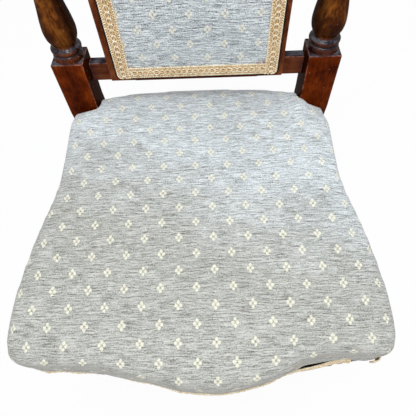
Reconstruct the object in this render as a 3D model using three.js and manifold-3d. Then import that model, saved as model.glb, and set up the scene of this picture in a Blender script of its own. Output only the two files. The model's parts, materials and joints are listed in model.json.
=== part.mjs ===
// A side chair with a stuffed-over, sprung seat, turned front legs, raked rear posts with turned uprights,
// and an upholstered panel framed between a lower back rail and an arched crest rail.
// Millimetres, +Z up. The chair faces -Y, and right means +X, as someone standing in front of it sees it.
// The origin is on the floor, at the middle of the whole outline.
import * as THREE from 'three';
import { mergeVertices } from 'three/addons/utils/BufferGeometryUtils.js';
import Module from 'manifold-3d';

const wasm = await Module();
wasm.setup();

// Driving dimensions of the whole chair.
const overallHeight = 900;
const seatHeight = 440;
const seatWidth = 485.4;
const seatDepth = 453.5;
const backRake = THREE.MathUtils.degToRad(8);

// Clearance between pieces that are cut to each other or rest on each other, the overrun of every cutter, and
// the distance within which the corners of neighbouring faces count as one.
const fit = 0.3;
const overrun = 2;
const weldDistance = 0.0001;

// Rear posts: square legs, a square block above the seat, a turned upright and a top block with a tenon.
const postSide = 44;
const postFromSeatSide = 60.2;
const postSetIn = 41;
const bendBelowSeat = 15;
const kneeBelowSeat = 88;
const blockAboveSeat = 74.5;
const footSetBack = 48;
const footDepth = 36;
const topBlockSide = 38;
const topBlockHeight = 40;
const topTenonWidth = 20;
const topTenonDepth = 12;
const topTenonHeight = 18;

// Front legs: a block whose outer faces follow the rails, then a turned leg.
const legSide = 46;
const legFromSeatSide = 29.7;
const legFromFront = 59.5;
const legBlockBelowRails = 34;

// Seat rails and their joints.
const railTopBelowSeat = 16;
const railHeight = 58;
const railThickness = 25;
const tenonThickness = 10;
const tenonLength = 22;
const frontTenonFromFront = 50;
const sideTenonFromLegFace = 15;
const rearTenonFromPostAxis = 6.5;
const rearRailTenonFromPostFace = 11;
const rearTenonLength = 20;
const tenonShoulder = 9;

// Corner blocks and their screws.
const cornerBlockHeight = 40;
const cornerBlockAboveRailBottom = 7;
const frontBlockReach = 88;
const rearBlockReach = 62;
const screwLength = 40;
const screwRadius = 2.2;
const screwHeadRadius = 4.2;
const screwHeadHeight = 2.6;
const screwTipLength = 7;
const screwStagger = 14;
const frontScrewFromLeg = 32;
const rearScrewFromPost = 14;

// Seat upholstery, from below: dust cover, webbing, springs, spring canvas, stuffing, cover, gimp.
const dustCoverThickness = 0.8;
const dustCoverInset = 10;
const webWidth = 50;
const webThickness = 1.8;
const webSpacing = 105;
const crossWebSpacing = 98;
const webWeave = 1.2;
const springWire = 3.4;
const springEndRadius = 40;
const springWaistRadius = 27;
const springTurns = 4;
const canvasThickness = 1.2;
const canvasInset = 12;
const coverThickness = 2;
const coverDrawIn = 1;
const edgeRoll = 20;
const seatCrown = 6;
const gimpHeight = 16.5;
const gimpThickness = 2.7;

// Back panel frame, its upholstery and the two back rails, in the plane of the raked back.
const panelFromPosts = 55.5;
const panelBelowBlock = 31.4;
const panelBehindCrest = 14;
const panelArch = 18;
const panelSetBack = 5.5;
const panelThickness = 17.9;
const panelMemberWidth = 36;
const panelMargin = 9;
const panelTenon = 14;
const panelTenonThickness = 6;
const panelRebateInset = 22;
const panelRebateDepth = 2.5;
const panelCrown = 4;
const panelCoverThickness = 0.8;
const panelCanvasThickness = 1;
const panelGimpWidth = 16.5;
const panelGimpThickness = 1.7;
const backRailBelowBlock = 16;
const backRailHeight = 30;
const backRailThickness = 16;
const crestBeyondPosts = 23.5;
const crestHeight = 59.85;
const crestThickness = 36;
const crestSetBack = 4;
const crestEndHeight = 28;
const panelScrewLength = 28;
const panelScrewFromStile = 21;

// Sizes that follow from the driving dimensions.
const railTop = seatHeight - railTopBelowSeat;
const railBottom = railTop - railHeight;
const bendZ = seatHeight - bendBelowSeat;
const kneeZ = seatHeight - kneeBelowSeat;
const blockTop = seatHeight + blockAboveSeat;
const postX = seatWidth / 2 - postFromSeatSide;
const legX = seatWidth / 2 - legFromSeatSide;
const panelWidth = (postX - panelFromPosts) * 2;
const crestWidth = (postX + crestBeyondPosts) * 2;
const railInset = coverDrawIn + coverThickness + fit;
const crestTop = (overallHeight - blockTop) / Math.cos(backRake) + crestSetBack * Math.tan(backRake);
const topBlockTop = crestTop - crestHeight;
const uprightLength = topBlockTop - topBlockHeight;
const panelShoulderHeight = topBlockTop + panelBehindCrest;

// The front of the seat is placed so that the chair's outline is centred on the origin: its furthest points
// are the gimp at the front of the seat and the top edge at the back of the crest rail.
const postFrontFromFront = seatDepth - postSetIn;
const rakeRun = (blockTop - bendZ) * Math.tan(backRake);
const crestReach = (crestSetBack + crestThickness) * Math.cos(backRake) + crestTop * Math.sin(backRake);
const gimpProud = gimpThickness + fit - coverDrawIn;
const frontY = -(postFrontFromFront + rakeRun + crestReach - gimpProud) / 2;
const rearY = frontY + seatDepth;
const postFrontY = frontY + postFrontFromFront;
const blockFrontY = postFrontY + rakeRun;
const legY = frontY + legFromFront;

// Finishes.
const mahogany = { color: 0x5a2412, roughness: 0.32, metalness: 0 };
const beech = { color: 0xb58a5a, roughness: 0.7, metalness: 0 };
const chenille = { color: 0xb9c2c8, roughness: 0.92, metalness: 0 };
const braid = { color: 0xd2b88c, roughness: 0.85, metalness: 0 };
const hessian = { color: 0xa98d62, roughness: 0.95, metalness: 0 };
const horsehair = { color: 0x4a3a2c, roughness: 0.98, metalness: 0 };
const jute = { color: 0xb79a68, roughness: 0.9, metalness: 0 };
const calico = { color: 0x22201f, roughness: 0.95, metalness: 0 };
const steel = { color: 0x8b8d8f, roughness: 0.4, metalness: 1 };

// A closed three.js geometry as a solid that can be joined and cut.
function solid(geometry) {
  const bare = geometry.clone();
  bare.deleteAttribute('normal');
  bare.deleteAttribute('uv');
  const merged = mergeVertices(bare, weldDistance);
  return new wasm.Manifold(new wasm.Mesh({
    numProp: 3,
    vertProperties: new Float32Array(merged.attributes.position.array),
    triVerts: new Uint32Array(merged.index.array),
  }));
}

function geometryOf(shape) {
  const { vertProperties, triVerts } = shape.getMesh();
  const geometry = new THREE.BufferGeometry();
  geometry.setAttribute('position', new THREE.BufferAttribute(new Float32Array(vertProperties), 3));
  geometry.setIndex(new THREE.BufferAttribute(new Uint32Array(triVerts), 1));
  geometry.computeVertexNormals();
  return geometry;
}

function piece(name, shape, finish, parent) {
  const mesh = new THREE.Mesh(geometryOf(shape), new THREE.MeshStandardMaterial(finish));
  mesh.name = name;
  parent.add(mesh);
  return mesh;
}

function box(x0, x1, y0, y1, z0, z1) {
  const geometry = new THREE.BoxGeometry(Math.abs(x1 - x0), Math.abs(y1 - y0), Math.abs(z1 - z0));
  geometry.translate((x0 + x1) / 2, (y0 + y1) / 2, (z0 + z1) / 2);
  return solid(geometry);
}

// A plan outline raised from z0 to z1.
function raised(points, z0, z1) {
  const outline = new THREE.Shape(points);
  const geometry = new THREE.ExtrudeGeometry(outline, { depth: z1 - z0, bevelEnabled: false });
  geometry.translate(0, 0, z0);
  return solid(geometry);
}

// An outline drawn in the XZ plane, given thickness from y0 back to y1.
function upright(points, y0, y1) {
  const outline = new THREE.Shape(points);
  const geometry = new THREE.ExtrudeGeometry(outline, { depth: y1 - y0, bevelEnabled: false });
  geometry.rotateX(Math.PI / 2);
  geometry.translate(0, y1, 0);
  return solid(geometry);
}

// A turned shape about the Z axis, from points of radius and height.
const turnedSides = 16;
function turned(profile, segments) {
  return solid(new THREE.LatheGeometry(profile, segments).rotateX(Math.PI / 2));
}

const at = (radius, height) => new THREE.Vector2(radius, height);

// A rounded bead of a turning, as points from its lower side to its upper side.
function bead(radius, height, halfHeight, steps = 4) {
  const points = [];
  for (let i = 0; i <= steps; i += 1) {
    const angle = -Math.PI / 2 + (Math.PI * i) / steps;
    points.push(at(radius - halfHeight * (1 - Math.cos(angle)), height + halfHeight * Math.sin(angle)));
  }
  return points;
}

// A flowing stretch of a turning, through shares of a radius and of a length.
function sweep(shares, radius, start, length, steps) {
  const curve = new THREE.SplineCurve(shares.map(([r, h]) => at(r * radius, start + h * length)));
  return curve.getPoints(steps);
}

// The part of a ring of plan points, drawn in by a distance square to the outline.
function drawnIn(points, distance) {
  const count = points.length;
  return points.map((point, i) => {
    const before = points[(i + count - 1) % count];
    const after = points[(i + 1) % count];
    const along = after.clone().sub(before).normalize();
    return new THREE.Vector2(point.x - along.y * distance, point.y + along.x * distance);
  });
}

// A closed skin through rings of plan points at rising heights, closed below and above by a middle point.
function lofted(rings, centre) {
  const count = rings[0].points.length;
  const vertices = [];
  const faces = [];
  for (const ring of rings) {
    ring.points.forEach((point) => vertices.push(point.x, point.y, ring.z));
  }
  for (let r = 0; r + 1 < rings.length; r += 1) {
    for (let i = 0; i < count; i += 1) {
      const a = r * count + i;
      const b = r * count + ((i + 1) % count);
      faces.push(a, b, b + count, a, b + count, a + count);
    }
  }
  const low = vertices.length / 3;
  vertices.push(centre.x, centre.y, rings[0].z, centre.x, centre.y, rings[rings.length - 1].middle);
  const lastRing = (rings.length - 1) * count;
  for (let i = 0; i < count; i += 1) {
    const next = (i + 1) % count;
    faces.push(low, next, i, low + 1, lastRing + i, lastRing + next);
  }
  const geometry = new THREE.BufferGeometry();
  geometry.setAttribute('position', new THREE.BufferAttribute(new Float32Array(vertices), 3));
  geometry.setIndex(faces);
  return solid(geometry);
}

// A solid moved by a matrix, which may also mirror it.
function placed(shape, matrix) {
  const geometry = geometryOf(shape).applyMatrix4(matrix);
  if (matrix.determinant() < 0) {
    const index = geometry.index.array;
    for (let i = 0; i < index.length; i += 3) {
      [index[i], index[i + 1]] = [index[i + 1], index[i]];
    }
  }
  return solid(geometry);
}

const shifted = (shape, x, y, z) => placed(shape, new THREE.Matrix4().makeTranslation(x, y, z));
const acrossX = new THREE.Matrix4().makeScale(-1, 1, 1);
const onSide = (shape, side) => (side < 0 ? placed(shape, acrossX) : shape);
const sides = [['left', -1], ['right', 1]];

const chair = new THREE.Group();

// The raked back has a frame of its own: X across, Y square to the back, Z up the posts' front faces from
// the tops of the square blocks.
const backFrame = new THREE.Matrix4().makeTranslation(0, blockFrontY, blockTop)
  .multiply(new THREE.Matrix4().makeRotationX(-backRake));
const back = new THREE.Group();
back.applyMatrix4(backFrame);
chair.add(back);

// Plan outline of the seat. Each pair is a share of half the width and a share of the depth, from the middle
// of the bowed front, round the front corner, in along the hollow side and round the back.
const seatOutlineShares = [
  [0, 0], [0.25, 0.0165], [0.5, 0.054], [0.68, 0.068], [0.845, 0.075], [0.962, 0.1], [1, 0.178],
  [0.98, 0.32], [0.925, 0.474], [0.869, 0.591], [0.853, 0.728], [0.845, 0.869], [0.783, 0.941],
  [0.639, 0.972], [0.371, 0.996], [0, 1],
];
const seatOutlineSteps = 64;
function outlinePoint([x, y], side) {
  return new THREE.Vector3((side * x * seatWidth) / 2, frontY + y * seatDepth, 0);
}
const seatCurve = new THREE.CatmullRomCurve3([
  ...seatOutlineShares.map((share) => outlinePoint(share, 1)),
  ...seatOutlineShares.slice(1, -1).reverse().map((share) => outlinePoint(share, -1)),
], true, 'centripetal');
const seatOutline = seatCurve.getSpacedPoints(seatOutlineSteps)
  .slice(0, -1)
  .map((p) => new THREE.Vector2(p.x, p.y));
const seatCentre = new THREE.Vector2(0, frontY + seatDepth / 2);

// Seat rails: a bowed front rail, two hollow side rails and a rear rail, tenoned into the legs and posts.
const railPlan = drawnIn(seatOutline, railInset);
const railSpace = raised(railPlan, railBottom, railTop);
const legFaceX = legX - legSide / 2;
const legBackY = legY + legSide / 2;
const postFaceX = postX - postSide / 2;
const tenonLow = railBottom + tenonShoulder;
const tenonHigh = railTop - tenonShoulder;
const cutLow = railBottom - overrun;
const cutHigh = railTop + overrun;
const halfTenon = tenonThickness / 2;

const frontTenonY = frontY + frontTenonFromFront;
function frontTenon(grow) {
  return box(-legFaceX - tenonLength - grow, legFaceX + tenonLength + grow,
    frontTenonY - halfTenon - grow, frontTenonY + halfTenon + grow, tenonLow - grow, tenonHigh + grow);
}
const sideTenonFrontX = legX + legSide / 2 - sideTenonFromLegFace;
function sideFrontTenon(grow) {
  return box(sideTenonFrontX - halfTenon - grow, sideTenonFrontX + halfTenon + grow,
    legBackY - tenonLength - grow, legBackY + overrun, tenonLow - grow, tenonHigh + grow);
}
const sideTenonRearX = postX + rearTenonFromPostAxis;
function sideRearTenon(grow) {
  return box(sideTenonRearX - halfTenon - grow, sideTenonRearX + halfTenon + grow,
    postFrontY - overrun, postFrontY + tenonLength + grow, tenonLow - grow, tenonHigh + grow);
}
const rearTenonY = postFrontY + rearRailTenonFromPostFace;
function rearTenon(grow) {
  return box(-postFaceX - rearTenonLength - grow, postFaceX + rearTenonLength + grow,
    rearTenonY - halfTenon - grow, rearTenonY + halfTenon + grow, tenonLow - grow, tenonHigh + grow);
}

const behindFrontRail = shifted(railSpace, 0, railThickness, 0);
const insideSideRail = shifted(railSpace, -railThickness, 0, 0);
const frontStrip = railSpace
  .intersect(box(-legFaceX + fit, legFaceX - fit, frontY, legBackY + railThickness, cutLow, cutHigh))
  .subtract(behindFrontRail);
// The front rail's tenons pass through its bowed body, so only their ends are added to it.
const frontTenonEnds = frontTenon(0)
  .subtract(box(-legFaceX + fit + overrun, legFaceX - fit - overrun, frontY, legBackY, cutLow, cutHigh));
let frontRail = frontStrip.add(frontTenonEnds);
let sideRail = railSpace
  .intersect(box(seatWidth / 4, seatWidth, legBackY + fit, postFrontY - fit, cutLow, cutHigh))
  .subtract(insideSideRail)
  .add(sideFrontTenon(0))
  .add(sideRearTenon(0));
let rearRail = railSpace
  .intersect(box(-postFaceX + fit, postFaceX - fit, postFrontY, rearY + overrun, cutLow, cutHigh))
  .add(rearTenon(0));

// Corner blocks are glued and screwed into the four inner corners of the rails.
const cornerLow = railBottom + cornerBlockAboveRailBottom;
const cornerHigh = cornerLow + cornerBlockHeight;
const innerX = shifted(railSpace, -railThickness - fit, 0, 0);
const innerY = shifted(railSpace, 0, railThickness + fit, 0);
const frontCornerX = legX + legSide / 2;
const frontCornerY = legY - legSide / 2;
const frontDiagonalX = legFaceX - frontBlockReach + legSide / 2;
const frontDiagonalY = legBackY + frontBlockReach - legSide / 2;
let frontCorner = raised([
  at(frontDiagonalX, frontCornerY),
  at(frontCornerX, frontCornerY),
  at(frontCornerX, frontDiagonalY),
  at(legFaceX + legSide / 2, frontDiagonalY),
  at(frontDiagonalX, legBackY),
], cornerLow, cornerHigh)
  .intersect(innerX)
  .intersect(innerY)
  .subtract(box(legFaceX - fit, seatWidth, frontY, legBackY + fit, cutLow, cutHigh));
const rearCornerX = postX + postSide / 2;
const rearDiagonalX = postFaceX - rearBlockReach + postSide / 2;
const rearDiagonalY = postFrontY - rearBlockReach;
let rearCorner = raised([
  at(rearDiagonalX, postFrontY - fit),
  at(postX, rearDiagonalY),
  at(rearCornerX, rearDiagonalY),
  at(rearCornerX, postFrontY - fit),
], cornerLow, cornerHigh)
  .intersect(innerX);

// A countersunk wood screw along +Z with its head at the origin, and the hole that it needs.
const screwSides = 10;
function woodScrew(length) {
  return turned([
    at(0, 0),
    at(screwHeadRadius, 0),
    at(screwRadius, screwHeadHeight),
    at(screwRadius, length - screwTipLength),
    at(0, length),
  ], screwSides);
}
function screwHole(length, headRoom) {
  return turned([
    at(0, -headRoom),
    at(screwHeadRadius + fit, -headRoom),
    at(screwHeadRadius + fit, fit),
    at(screwRadius + fit, screwHeadHeight + fit),
    at(screwRadius + fit, length + fit),
    at(0, length + fit),
  ], screwSides);
}
function aimed(x, y, z, direction) {
  const turn = new THREE.Quaternion().setFromUnitVectors(new THREE.Vector3(0, 0, 1), direction);
  return new THREE.Matrix4().compose(new THREE.Vector3(x, y, z), turn, new THREE.Vector3(1, 1, 1));
}
const forward = new THREE.Vector3(0, -1, 0);
const backward = new THREE.Vector3(0, 1, 0);
const outward = new THREE.Vector3(1, 0, 0);
const screwHighZ = cornerHigh - cornerBlockHeight / 4;
const screwLowZ = screwHighZ - screwStagger;
const frontScrewX = legFaceX - frontScrewFromLeg;
const frontScrewY = legBackY + frontScrewFromLeg;
const rearScrewX = postFaceX - rearScrewFromPost;
const cornerScrews = {
  front_a: aimed(frontScrewX, legBackY + screwHeadRadius * 2, screwHighZ, forward),
  front_b: aimed(legFaceX - screwHeadRadius, frontScrewY, screwLowZ, outward),
  rear_a: aimed(rearScrewX, postFrontY - screwLength / 2 - screwHeadRadius * 2, screwHighZ, backward),
  rear_b: aimed(rearScrewX, rearDiagonalY + rearBlockReach / 2, screwLowZ, outward),
};
const headRoom = frontBlockReach;
for (const [name, matrix] of Object.entries(cornerScrews)) {
  const hole = placed(screwHole(screwLength, headRoom), matrix);
  if (name.startsWith('front')) {
    frontCorner = frontCorner.subtract(hole);
  } else {
    rearCorner = rearCorner.subtract(hole);
  }
  sideRail = sideRail.subtract(hole);
  for (const side of [1, -1]) {
    frontRail = frontRail.subtract(onSide(hole, side));
    rearRail = rearRail.subtract(onSide(hole, side));
  }
}

piece('front_seat_rail', frontRail, beech, chair);
piece('rear_seat_rail', rearRail, beech, chair);
for (const [name, side] of sides) {
  piece(`side_seat_rail_${name}`, onSide(sideRail, side), beech, chair);
  piece(`front_corner_block_${name}`, onSide(frontCorner, side), beech, chair);
  piece(`rear_corner_block_${name}`, onSide(rearCorner, side), beech, chair);
  for (const [place, matrix] of Object.entries(cornerScrews)) {
    const screw = placed(woodScrew(screwLength), matrix);
    piece(`corner_screw_${place}_${name}`, onSide(screw, side), steel, chair);
  }
}

// Rear posts. The lower leg sweeps back, the part between the rails is upright, and the rest leans back.
const postRearY = postFrontY + postSide / Math.cos(backRake);
const footFrontY = postFrontY + footSetBack;
const postSideView = new THREE.Shape();
postSideView.moveTo(postFrontY, kneeZ);
postSideView.quadraticCurveTo(postFrontY + footSetBack / 6, kneeZ / 2, footFrontY, 0);
postSideView.lineTo(footFrontY + footDepth, 0);
postSideView.quadraticCurveTo(postRearY + footSetBack / 6, kneeZ / 2, postRearY, kneeZ);
postSideView.lineTo(postRearY, bendZ);
postSideView.lineTo(blockFrontY + postSide * Math.cos(backRake), blockTop - postSide * Math.sin(backRake));
postSideView.lineTo(blockFrontY, blockTop);
postSideView.lineTo(postFrontY, bendZ);
const postTimber = new THREE.ExtrudeGeometry(postSideView, {
  depth: postSide, bevelEnabled: false, curveSegments: 8,
});
postTimber.applyMatrix4(new THREE.Matrix4().makeBasis(
  new THREE.Vector3(0, 1, 0), new THREE.Vector3(0, 0, 1), new THREE.Vector3(1, 0, 0)));
postTimber.translate(postFaceX, 0, 0);
const footTaper = (postSide - footDepth) / 2;
const postOuterX = postFaceX + postSide;
const postFrontView = upright([
  at(postFaceX + footTaper, -overrun),
  at(postOuterX - footTaper, -overrun),
  at(postOuterX + overrun, kneeZ),
  at(postOuterX + overrun, overallHeight),
  at(postFaceX - overrun, overallHeight),
  at(postFaceX - overrun, kneeZ),
], frontY, rearY + overallHeight);

// The turned upright: a collar and a bead on the square block, a vase that thins into a long neck, and a bead
// and a collar under the top block. Shares are of half the post's side and of the upright's length.
const postRadius = postSide / 2;
const uprightShares = [
  [0.79, 0.072], [0.93, 0.088], [1.03, 0.108], [1.05, 0.128], [1.02, 0.16], [0.94, 0.2], [0.84, 0.245],
  [0.74, 0.31], [0.64, 0.4], [0.58, 0.52], [0.58, 0.66], [0.64, 0.8], [0.7, 0.87],
];
const collarHeight = uprightLength * 0.024;
const beadHalf = uprightLength * 0.017;
const uprightProfile = [
  at(0, -overrun),
  at(postRadius * 0.98, -overrun),
  at(postRadius * 0.98, collarHeight * 0.5),
  at(postRadius * 0.9, collarHeight),
  at(postRadius * 0.84, collarHeight * 1.3),
  ...bead(postRadius * 0.97, uprightLength * 0.05, beadHalf),
  ...sweep(uprightShares, postRadius, 0, uprightLength, 18),
  ...bead(postRadius * 0.86, uprightLength * 0.9, beadHalf),
  at(postRadius * 0.7, uprightLength * 0.925),
  at(postRadius * 0.8, uprightLength * 0.96),
  at(postRadius * 0.8, uprightLength + overrun),
  at(0, uprightLength + overrun),
];
const postAxisY = postSide / 2;
const halfTopBlock = topBlockSide / 2;
const topTenon = (grow) => box(
  postX - topTenonWidth / 2 - grow, postX + topTenonWidth / 2 + grow,
  postAxisY - topTenonDepth / 2 - grow, postAxisY + topTenonDepth / 2 + grow,
  topBlockTop - overrun, topBlockTop + topTenonHeight + grow);
const postTop = shifted(turned(uprightProfile, turnedSides), postX, postAxisY, 0)
  .add(box(postX - halfTopBlock, postX + halfTopBlock, postAxisY - halfTopBlock, postAxisY + halfTopBlock,
    uprightLength, topBlockTop))
  .add(topTenon(0));

// The lower back rail runs between the square blocks, behind the panel.
const backRailY = panelSetBack + panelThickness + fit;
const backRailTop = -backRailBelowBlock;
const backRailBottom = backRailTop - backRailHeight;
const backTenonThickness = backRailThickness / 2;
const backTenonShoulder = tenonShoulder / 2;
const backTenonY = backRailY + (backRailThickness - backTenonThickness) / 2;
const backTenon = (grow) => box(
  -postFaceX - rearTenonLength - grow, postFaceX + rearTenonLength + grow,
  backTenonY - grow, backTenonY + backTenonThickness + grow,
  backRailBottom + backTenonShoulder - grow, backRailTop - backTenonShoulder + grow);
const rearPost = solid(postTimber)
  .intersect(postFrontView)
  .add(placed(postTop, backFrame))
  .subtract(sideRearTenon(fit))
  .subtract(rearTenon(fit))
  .subtract(placed(backTenon(fit), backFrame));
for (const [name, side] of sides) {
  piece(`rear_post_${name}`, onSide(rearPost, side), mahogany, chair);
}

// Front legs. The block's outer faces follow the rails, so that the cover passes over them flat. Below it
// the leg has a collar and bead, a vase, a second bead, a long taper and a small turned foot.
const legBlockBottom = railBottom - legBlockBelowRails;
const legRadius = legSide / 2;
const legVaseShares = [
  [0.62, 0.6], [0.6, 0.63], [0.72, 0.67], [0.9, 0.72],
  [0.97, 0.76], [0.9, 0.81], [0.74, 0.86], [0.64, 0.905],
];
const legTaperShares = [[0.82, 0.47], [0.8, 0.43], [0.68, 0.3], [0.52, 0.15]];
const legProfile = [
  at(0, 0),
  at(legRadius * 0.5, 0),
  at(legRadius * 0.64, legBlockBottom * 0.03),
  at(legRadius * 0.62, legBlockBottom * 0.07),
  at(legRadius * 0.48, legBlockBottom * 0.1),
  ...bead(legRadius * 0.68, legBlockBottom * 0.125, legBlockBottom * 0.014),
  ...sweep(legTaperShares, legRadius, 0, legBlockBottom, 8).reverse(),
  at(legRadius * 0.92, legBlockBottom * 0.485),
  at(legRadius * 0.92, legBlockBottom * 0.51),
  at(legRadius * 0.8, legBlockBottom * 0.52),
  ...bead(legRadius, legBlockBottom * 0.545, legBlockBottom * 0.022),
  ...sweep(legVaseShares, legRadius, 0, legBlockBottom, 14),
  ...bead(legRadius * 0.95, legBlockBottom * 0.935, legBlockBottom * 0.018),
  at(legRadius * 0.78, legBlockBottom * 0.96),
  at(legRadius * 0.95, legBlockBottom * 0.975),
  at(legRadius * 0.95, legBlockBottom + overrun),
  at(0, legBlockBottom + overrun),
];
const legBlock = box(
  legX - legRadius, legX + legRadius, legY - legRadius, legY + legRadius, legBlockBottom, railTop)
  .intersect(raised(railPlan, legBlockBottom - overrun, railTop + overrun));
const frontLeg = shifted(turned(legProfile, turnedSides), legX, legY, 0)
  .add(legBlock)
  .subtract(frontTenon(fit))
  .subtract(sideFrontTenon(fit));
for (const [name, side] of sides) {
  piece(`front_leg_${name}`, onSide(frontLeg, side), mahogany, chair);
}

// Webbing is tacked under the rails and interlaced. Each strap rises over one crossing strap and dips under
// the next.
const webZ = railBottom - fit - webThickness / 2;
const webOutline = raised(
  drawnIn(seatOutline, railInset + tenonThickness / 2), webZ - overrun * 2, webZ + overrun * 2);
const webCentreY = (legBackY + postFrontY) / 2 - tenonThickness;
const webRow = [-1, 0, 1];
function webStrap(crossings, start, end, startEdge, endEdge, firstUp) {
  const plateau = webWidth / 2 + overrun;
  const centreLine = [at(start, webZ), at(startEdge, webZ)];
  crossings.forEach((place, i) => {
    const lift = webWeave * ((i + firstUp) % 2 ? 1 : -1);
    centreLine.push(at(place - plateau, webZ + lift), at(place + plateau, webZ + lift));
  });
  centreLine.push(at(endEdge, webZ), at(end, webZ));
  const half = webThickness / 2;
  const lower = centreLine.map((p) => at(p.x, p.y - half));
  const upper = centreLine.map((p) => at(p.x, p.y + half)).reverse();
  return [...lower, ...upper];
}
const crossingY = webRow.map((n) => webCentreY + n * crossWebSpacing);
const crossingX = webRow.map((n) => n * webSpacing);
const turnToY = new THREE.Matrix4().makeRotationZ(Math.PI / 2);
webRow.forEach((n, i) => {
  const sideways = webStrap(crossingX, -seatWidth / 2, seatWidth / 2, -postFaceX, postFaceX, i);
  const alongX = upright(sideways, -webWidth / 2, webWidth / 2);
  const across = shifted(alongX, 0, crossingY[i], 0).intersect(webOutline);
  piece(`cross_webbing_${i + 1}`, across, jute, chair);
  const lengthways = webStrap(crossingY, frontY, rearY, legBackY, postFrontY, i + 1);
  const alongY = placed(upright(lengthways, -webWidth / 2, webWidth / 2), turnToY);
  piece(`long_webbing_${i + 1}`, shifted(alongY, crossingX[i], 0, 0).intersect(webOutline), jute, chair);
});

// Springs stand on the crossings of the webbing. Each is waisted, and its ends lie flat.
class SpringWire extends THREE.Curve {
  constructor(low, high) {
    super();
    this.low = low;
    this.high = high;
  }

  getPoint(t, target = new THREE.Vector3()) {
    const fromWaist = (2 * t - 1) ** 2;
    const radius = springWaistRadius + (springEndRadius - springWaistRadius) * fromWaist;
    const angle = 2 * Math.PI * springTurns * t;
    const height = this.low + (this.high - this.low) * t;
    return target.set(radius * Math.cos(angle), radius * Math.sin(angle), height);
  }
}
const springLow = webZ + webWeave + webThickness / 2 + fit + springWire / 2;
const springHigh = railTop - springWire / 2;
const wireSides = 5;
const wirePoints = [];
for (let i = 0; i < wireSides; i += 1) {
  const angle = (2 * Math.PI * i) / wireSides;
  wirePoints.push(at((springWire / 2) * Math.cos(angle), (springWire / 2) * Math.sin(angle)));
}
const spring = solid(new THREE.ExtrudeGeometry(new THREE.Shape(wirePoints), {
  steps: springTurns * 10, bevelEnabled: false, extrudePath: new SpringWire(springLow, springHigh),
}));
const springPlaces = [[0, 0], [2, 0], [1, 1], [0, 2], [2, 2]];
springPlaces.forEach(([i, j], n) => {
  piece(`seat_spring_${n + 1}`, shifted(spring, crossingX[i], crossingY[j], 0), steel, chair);
});

// The upholstery stops at the rear posts, which stand in two notches at its back corners.
function notch(grow) {
  return box(postFaceX - grow, seatWidth, postFrontY - grow, rearY + seatDepth, 0, overallHeight);
}
function notched(shape, grow) {
  return shape.subtract(notch(grow)).subtract(onSide(notch(grow), -1));
}
const canvasLow = railTop + fit;
const canvasHigh = canvasLow + canvasThickness;
const canvas = raised(drawnIn(seatOutline, canvasInset), canvasLow, canvasHigh);
piece('spring_canvas', notched(canvas, fit), hessian, chair);

// The cover is a crowned cap: upright at its lower edge, fuller above, rolled over at the top edge and domed.
// Its rings are drawn in from the seat outline. Drawn in further, they give its inside and the stuffing.
const coverBottom = railBottom + fit;
const fullestZ = railTop;
const rollTop = seatHeight - seatCrown / 2;
function cap(low, inset, rollSteps, crownShares) {
  const rings = [
    { points: drawnIn(seatOutline, coverDrawIn + inset), z: low },
    { points: drawnIn(seatOutline, coverDrawIn + inset), z: coverBottom + gimpHeight + overrun },
  ];
  for (let i = 0; i <= rollSteps; i += 1) {
    const angle = (Math.PI / 2) * (i / rollSteps);
    rings.push({
      points: drawnIn(seatOutline, inset + edgeRoll * (1 - Math.cos(angle))),
      z: fullestZ + (rollTop - inset - fullestZ) * Math.sin(angle),
    });
  }
  const rim = rings[rings.length - 1].points;
  for (const share of crownShares) {
    rings.push({
      points: rim.map((p) => p.clone().lerp(seatCentre, share)),
      z: rollTop - inset + seatCrown * (1 - (1 - share) ** 2),
    });
  }
  rings[rings.length - 1].middle = rollTop - inset + seatCrown;
  return lofted(rings, seatCentre);
}
const coverShares = [0.2, 0.45, 0.75];
const stuffingShares = [0.45];
const cover = cap(coverBottom, 0, 4, coverShares)
  .subtract(cap(coverBottom - overrun, coverThickness, 3, stuffingShares));
piece('seat_cover', notched(cover, fit), chenille, chair);
const stuffingInset = coverThickness + fit * 3;
const stuffingLow = canvasHigh + fit;
const stuffing = cap(coverBottom - overrun, stuffingInset, 3, stuffingShares)
  .subtract(box(-seatWidth, seatWidth, frontY - seatDepth, rearY + seatDepth, 0, stuffingLow));
piece('seat_stuffing', notched(stuffing, fit * 2), horsehair, chair);

// Gimp covers the tacks along the cover's lower edge, in front and at the sides, and between the posts.
const gimpTop = coverBottom + gimpHeight;
const gimpRing = raised(drawnIn(seatOutline, coverDrawIn - fit - gimpThickness), coverBottom, gimpTop)
  .subtract(raised(drawnIn(seatOutline, coverDrawIn - fit), coverBottom - overrun, gimpTop + overrun));
const gimpEndY = postFrontY - fit;
const gimpEndX = postFaceX - fit;
const beforePosts = box(-seatWidth, seatWidth, frontY - seatDepth, gimpEndY, 0, seatHeight);
const betweenPosts = box(-gimpEndX, gimpEndX, postFrontY, rearY + seatDepth, 0, seatHeight);
piece('seat_gimp', gimpRing.intersect(beforePosts), braid, chair);
piece('rear_seat_gimp', gimpRing.intersect(betweenPosts), braid, chair);

// A black cloth under the seat hides the webbing. It is cut round the legs and the posts.
const dustTop = webZ - webWeave - webThickness / 2 - fit;
const legNotch = box(legFaceX - fit, seatWidth, frontY - seatDepth, legBackY + fit, 0, seatHeight);
const dustCover = raised(drawnIn(seatOutline, dustCoverInset), dustTop - dustCoverThickness, dustTop)
  .subtract(legNotch)
  .subtract(onSide(legNotch, -1));
piece('dust_cover', notched(dustCover, fit), calico, chair);

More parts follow.
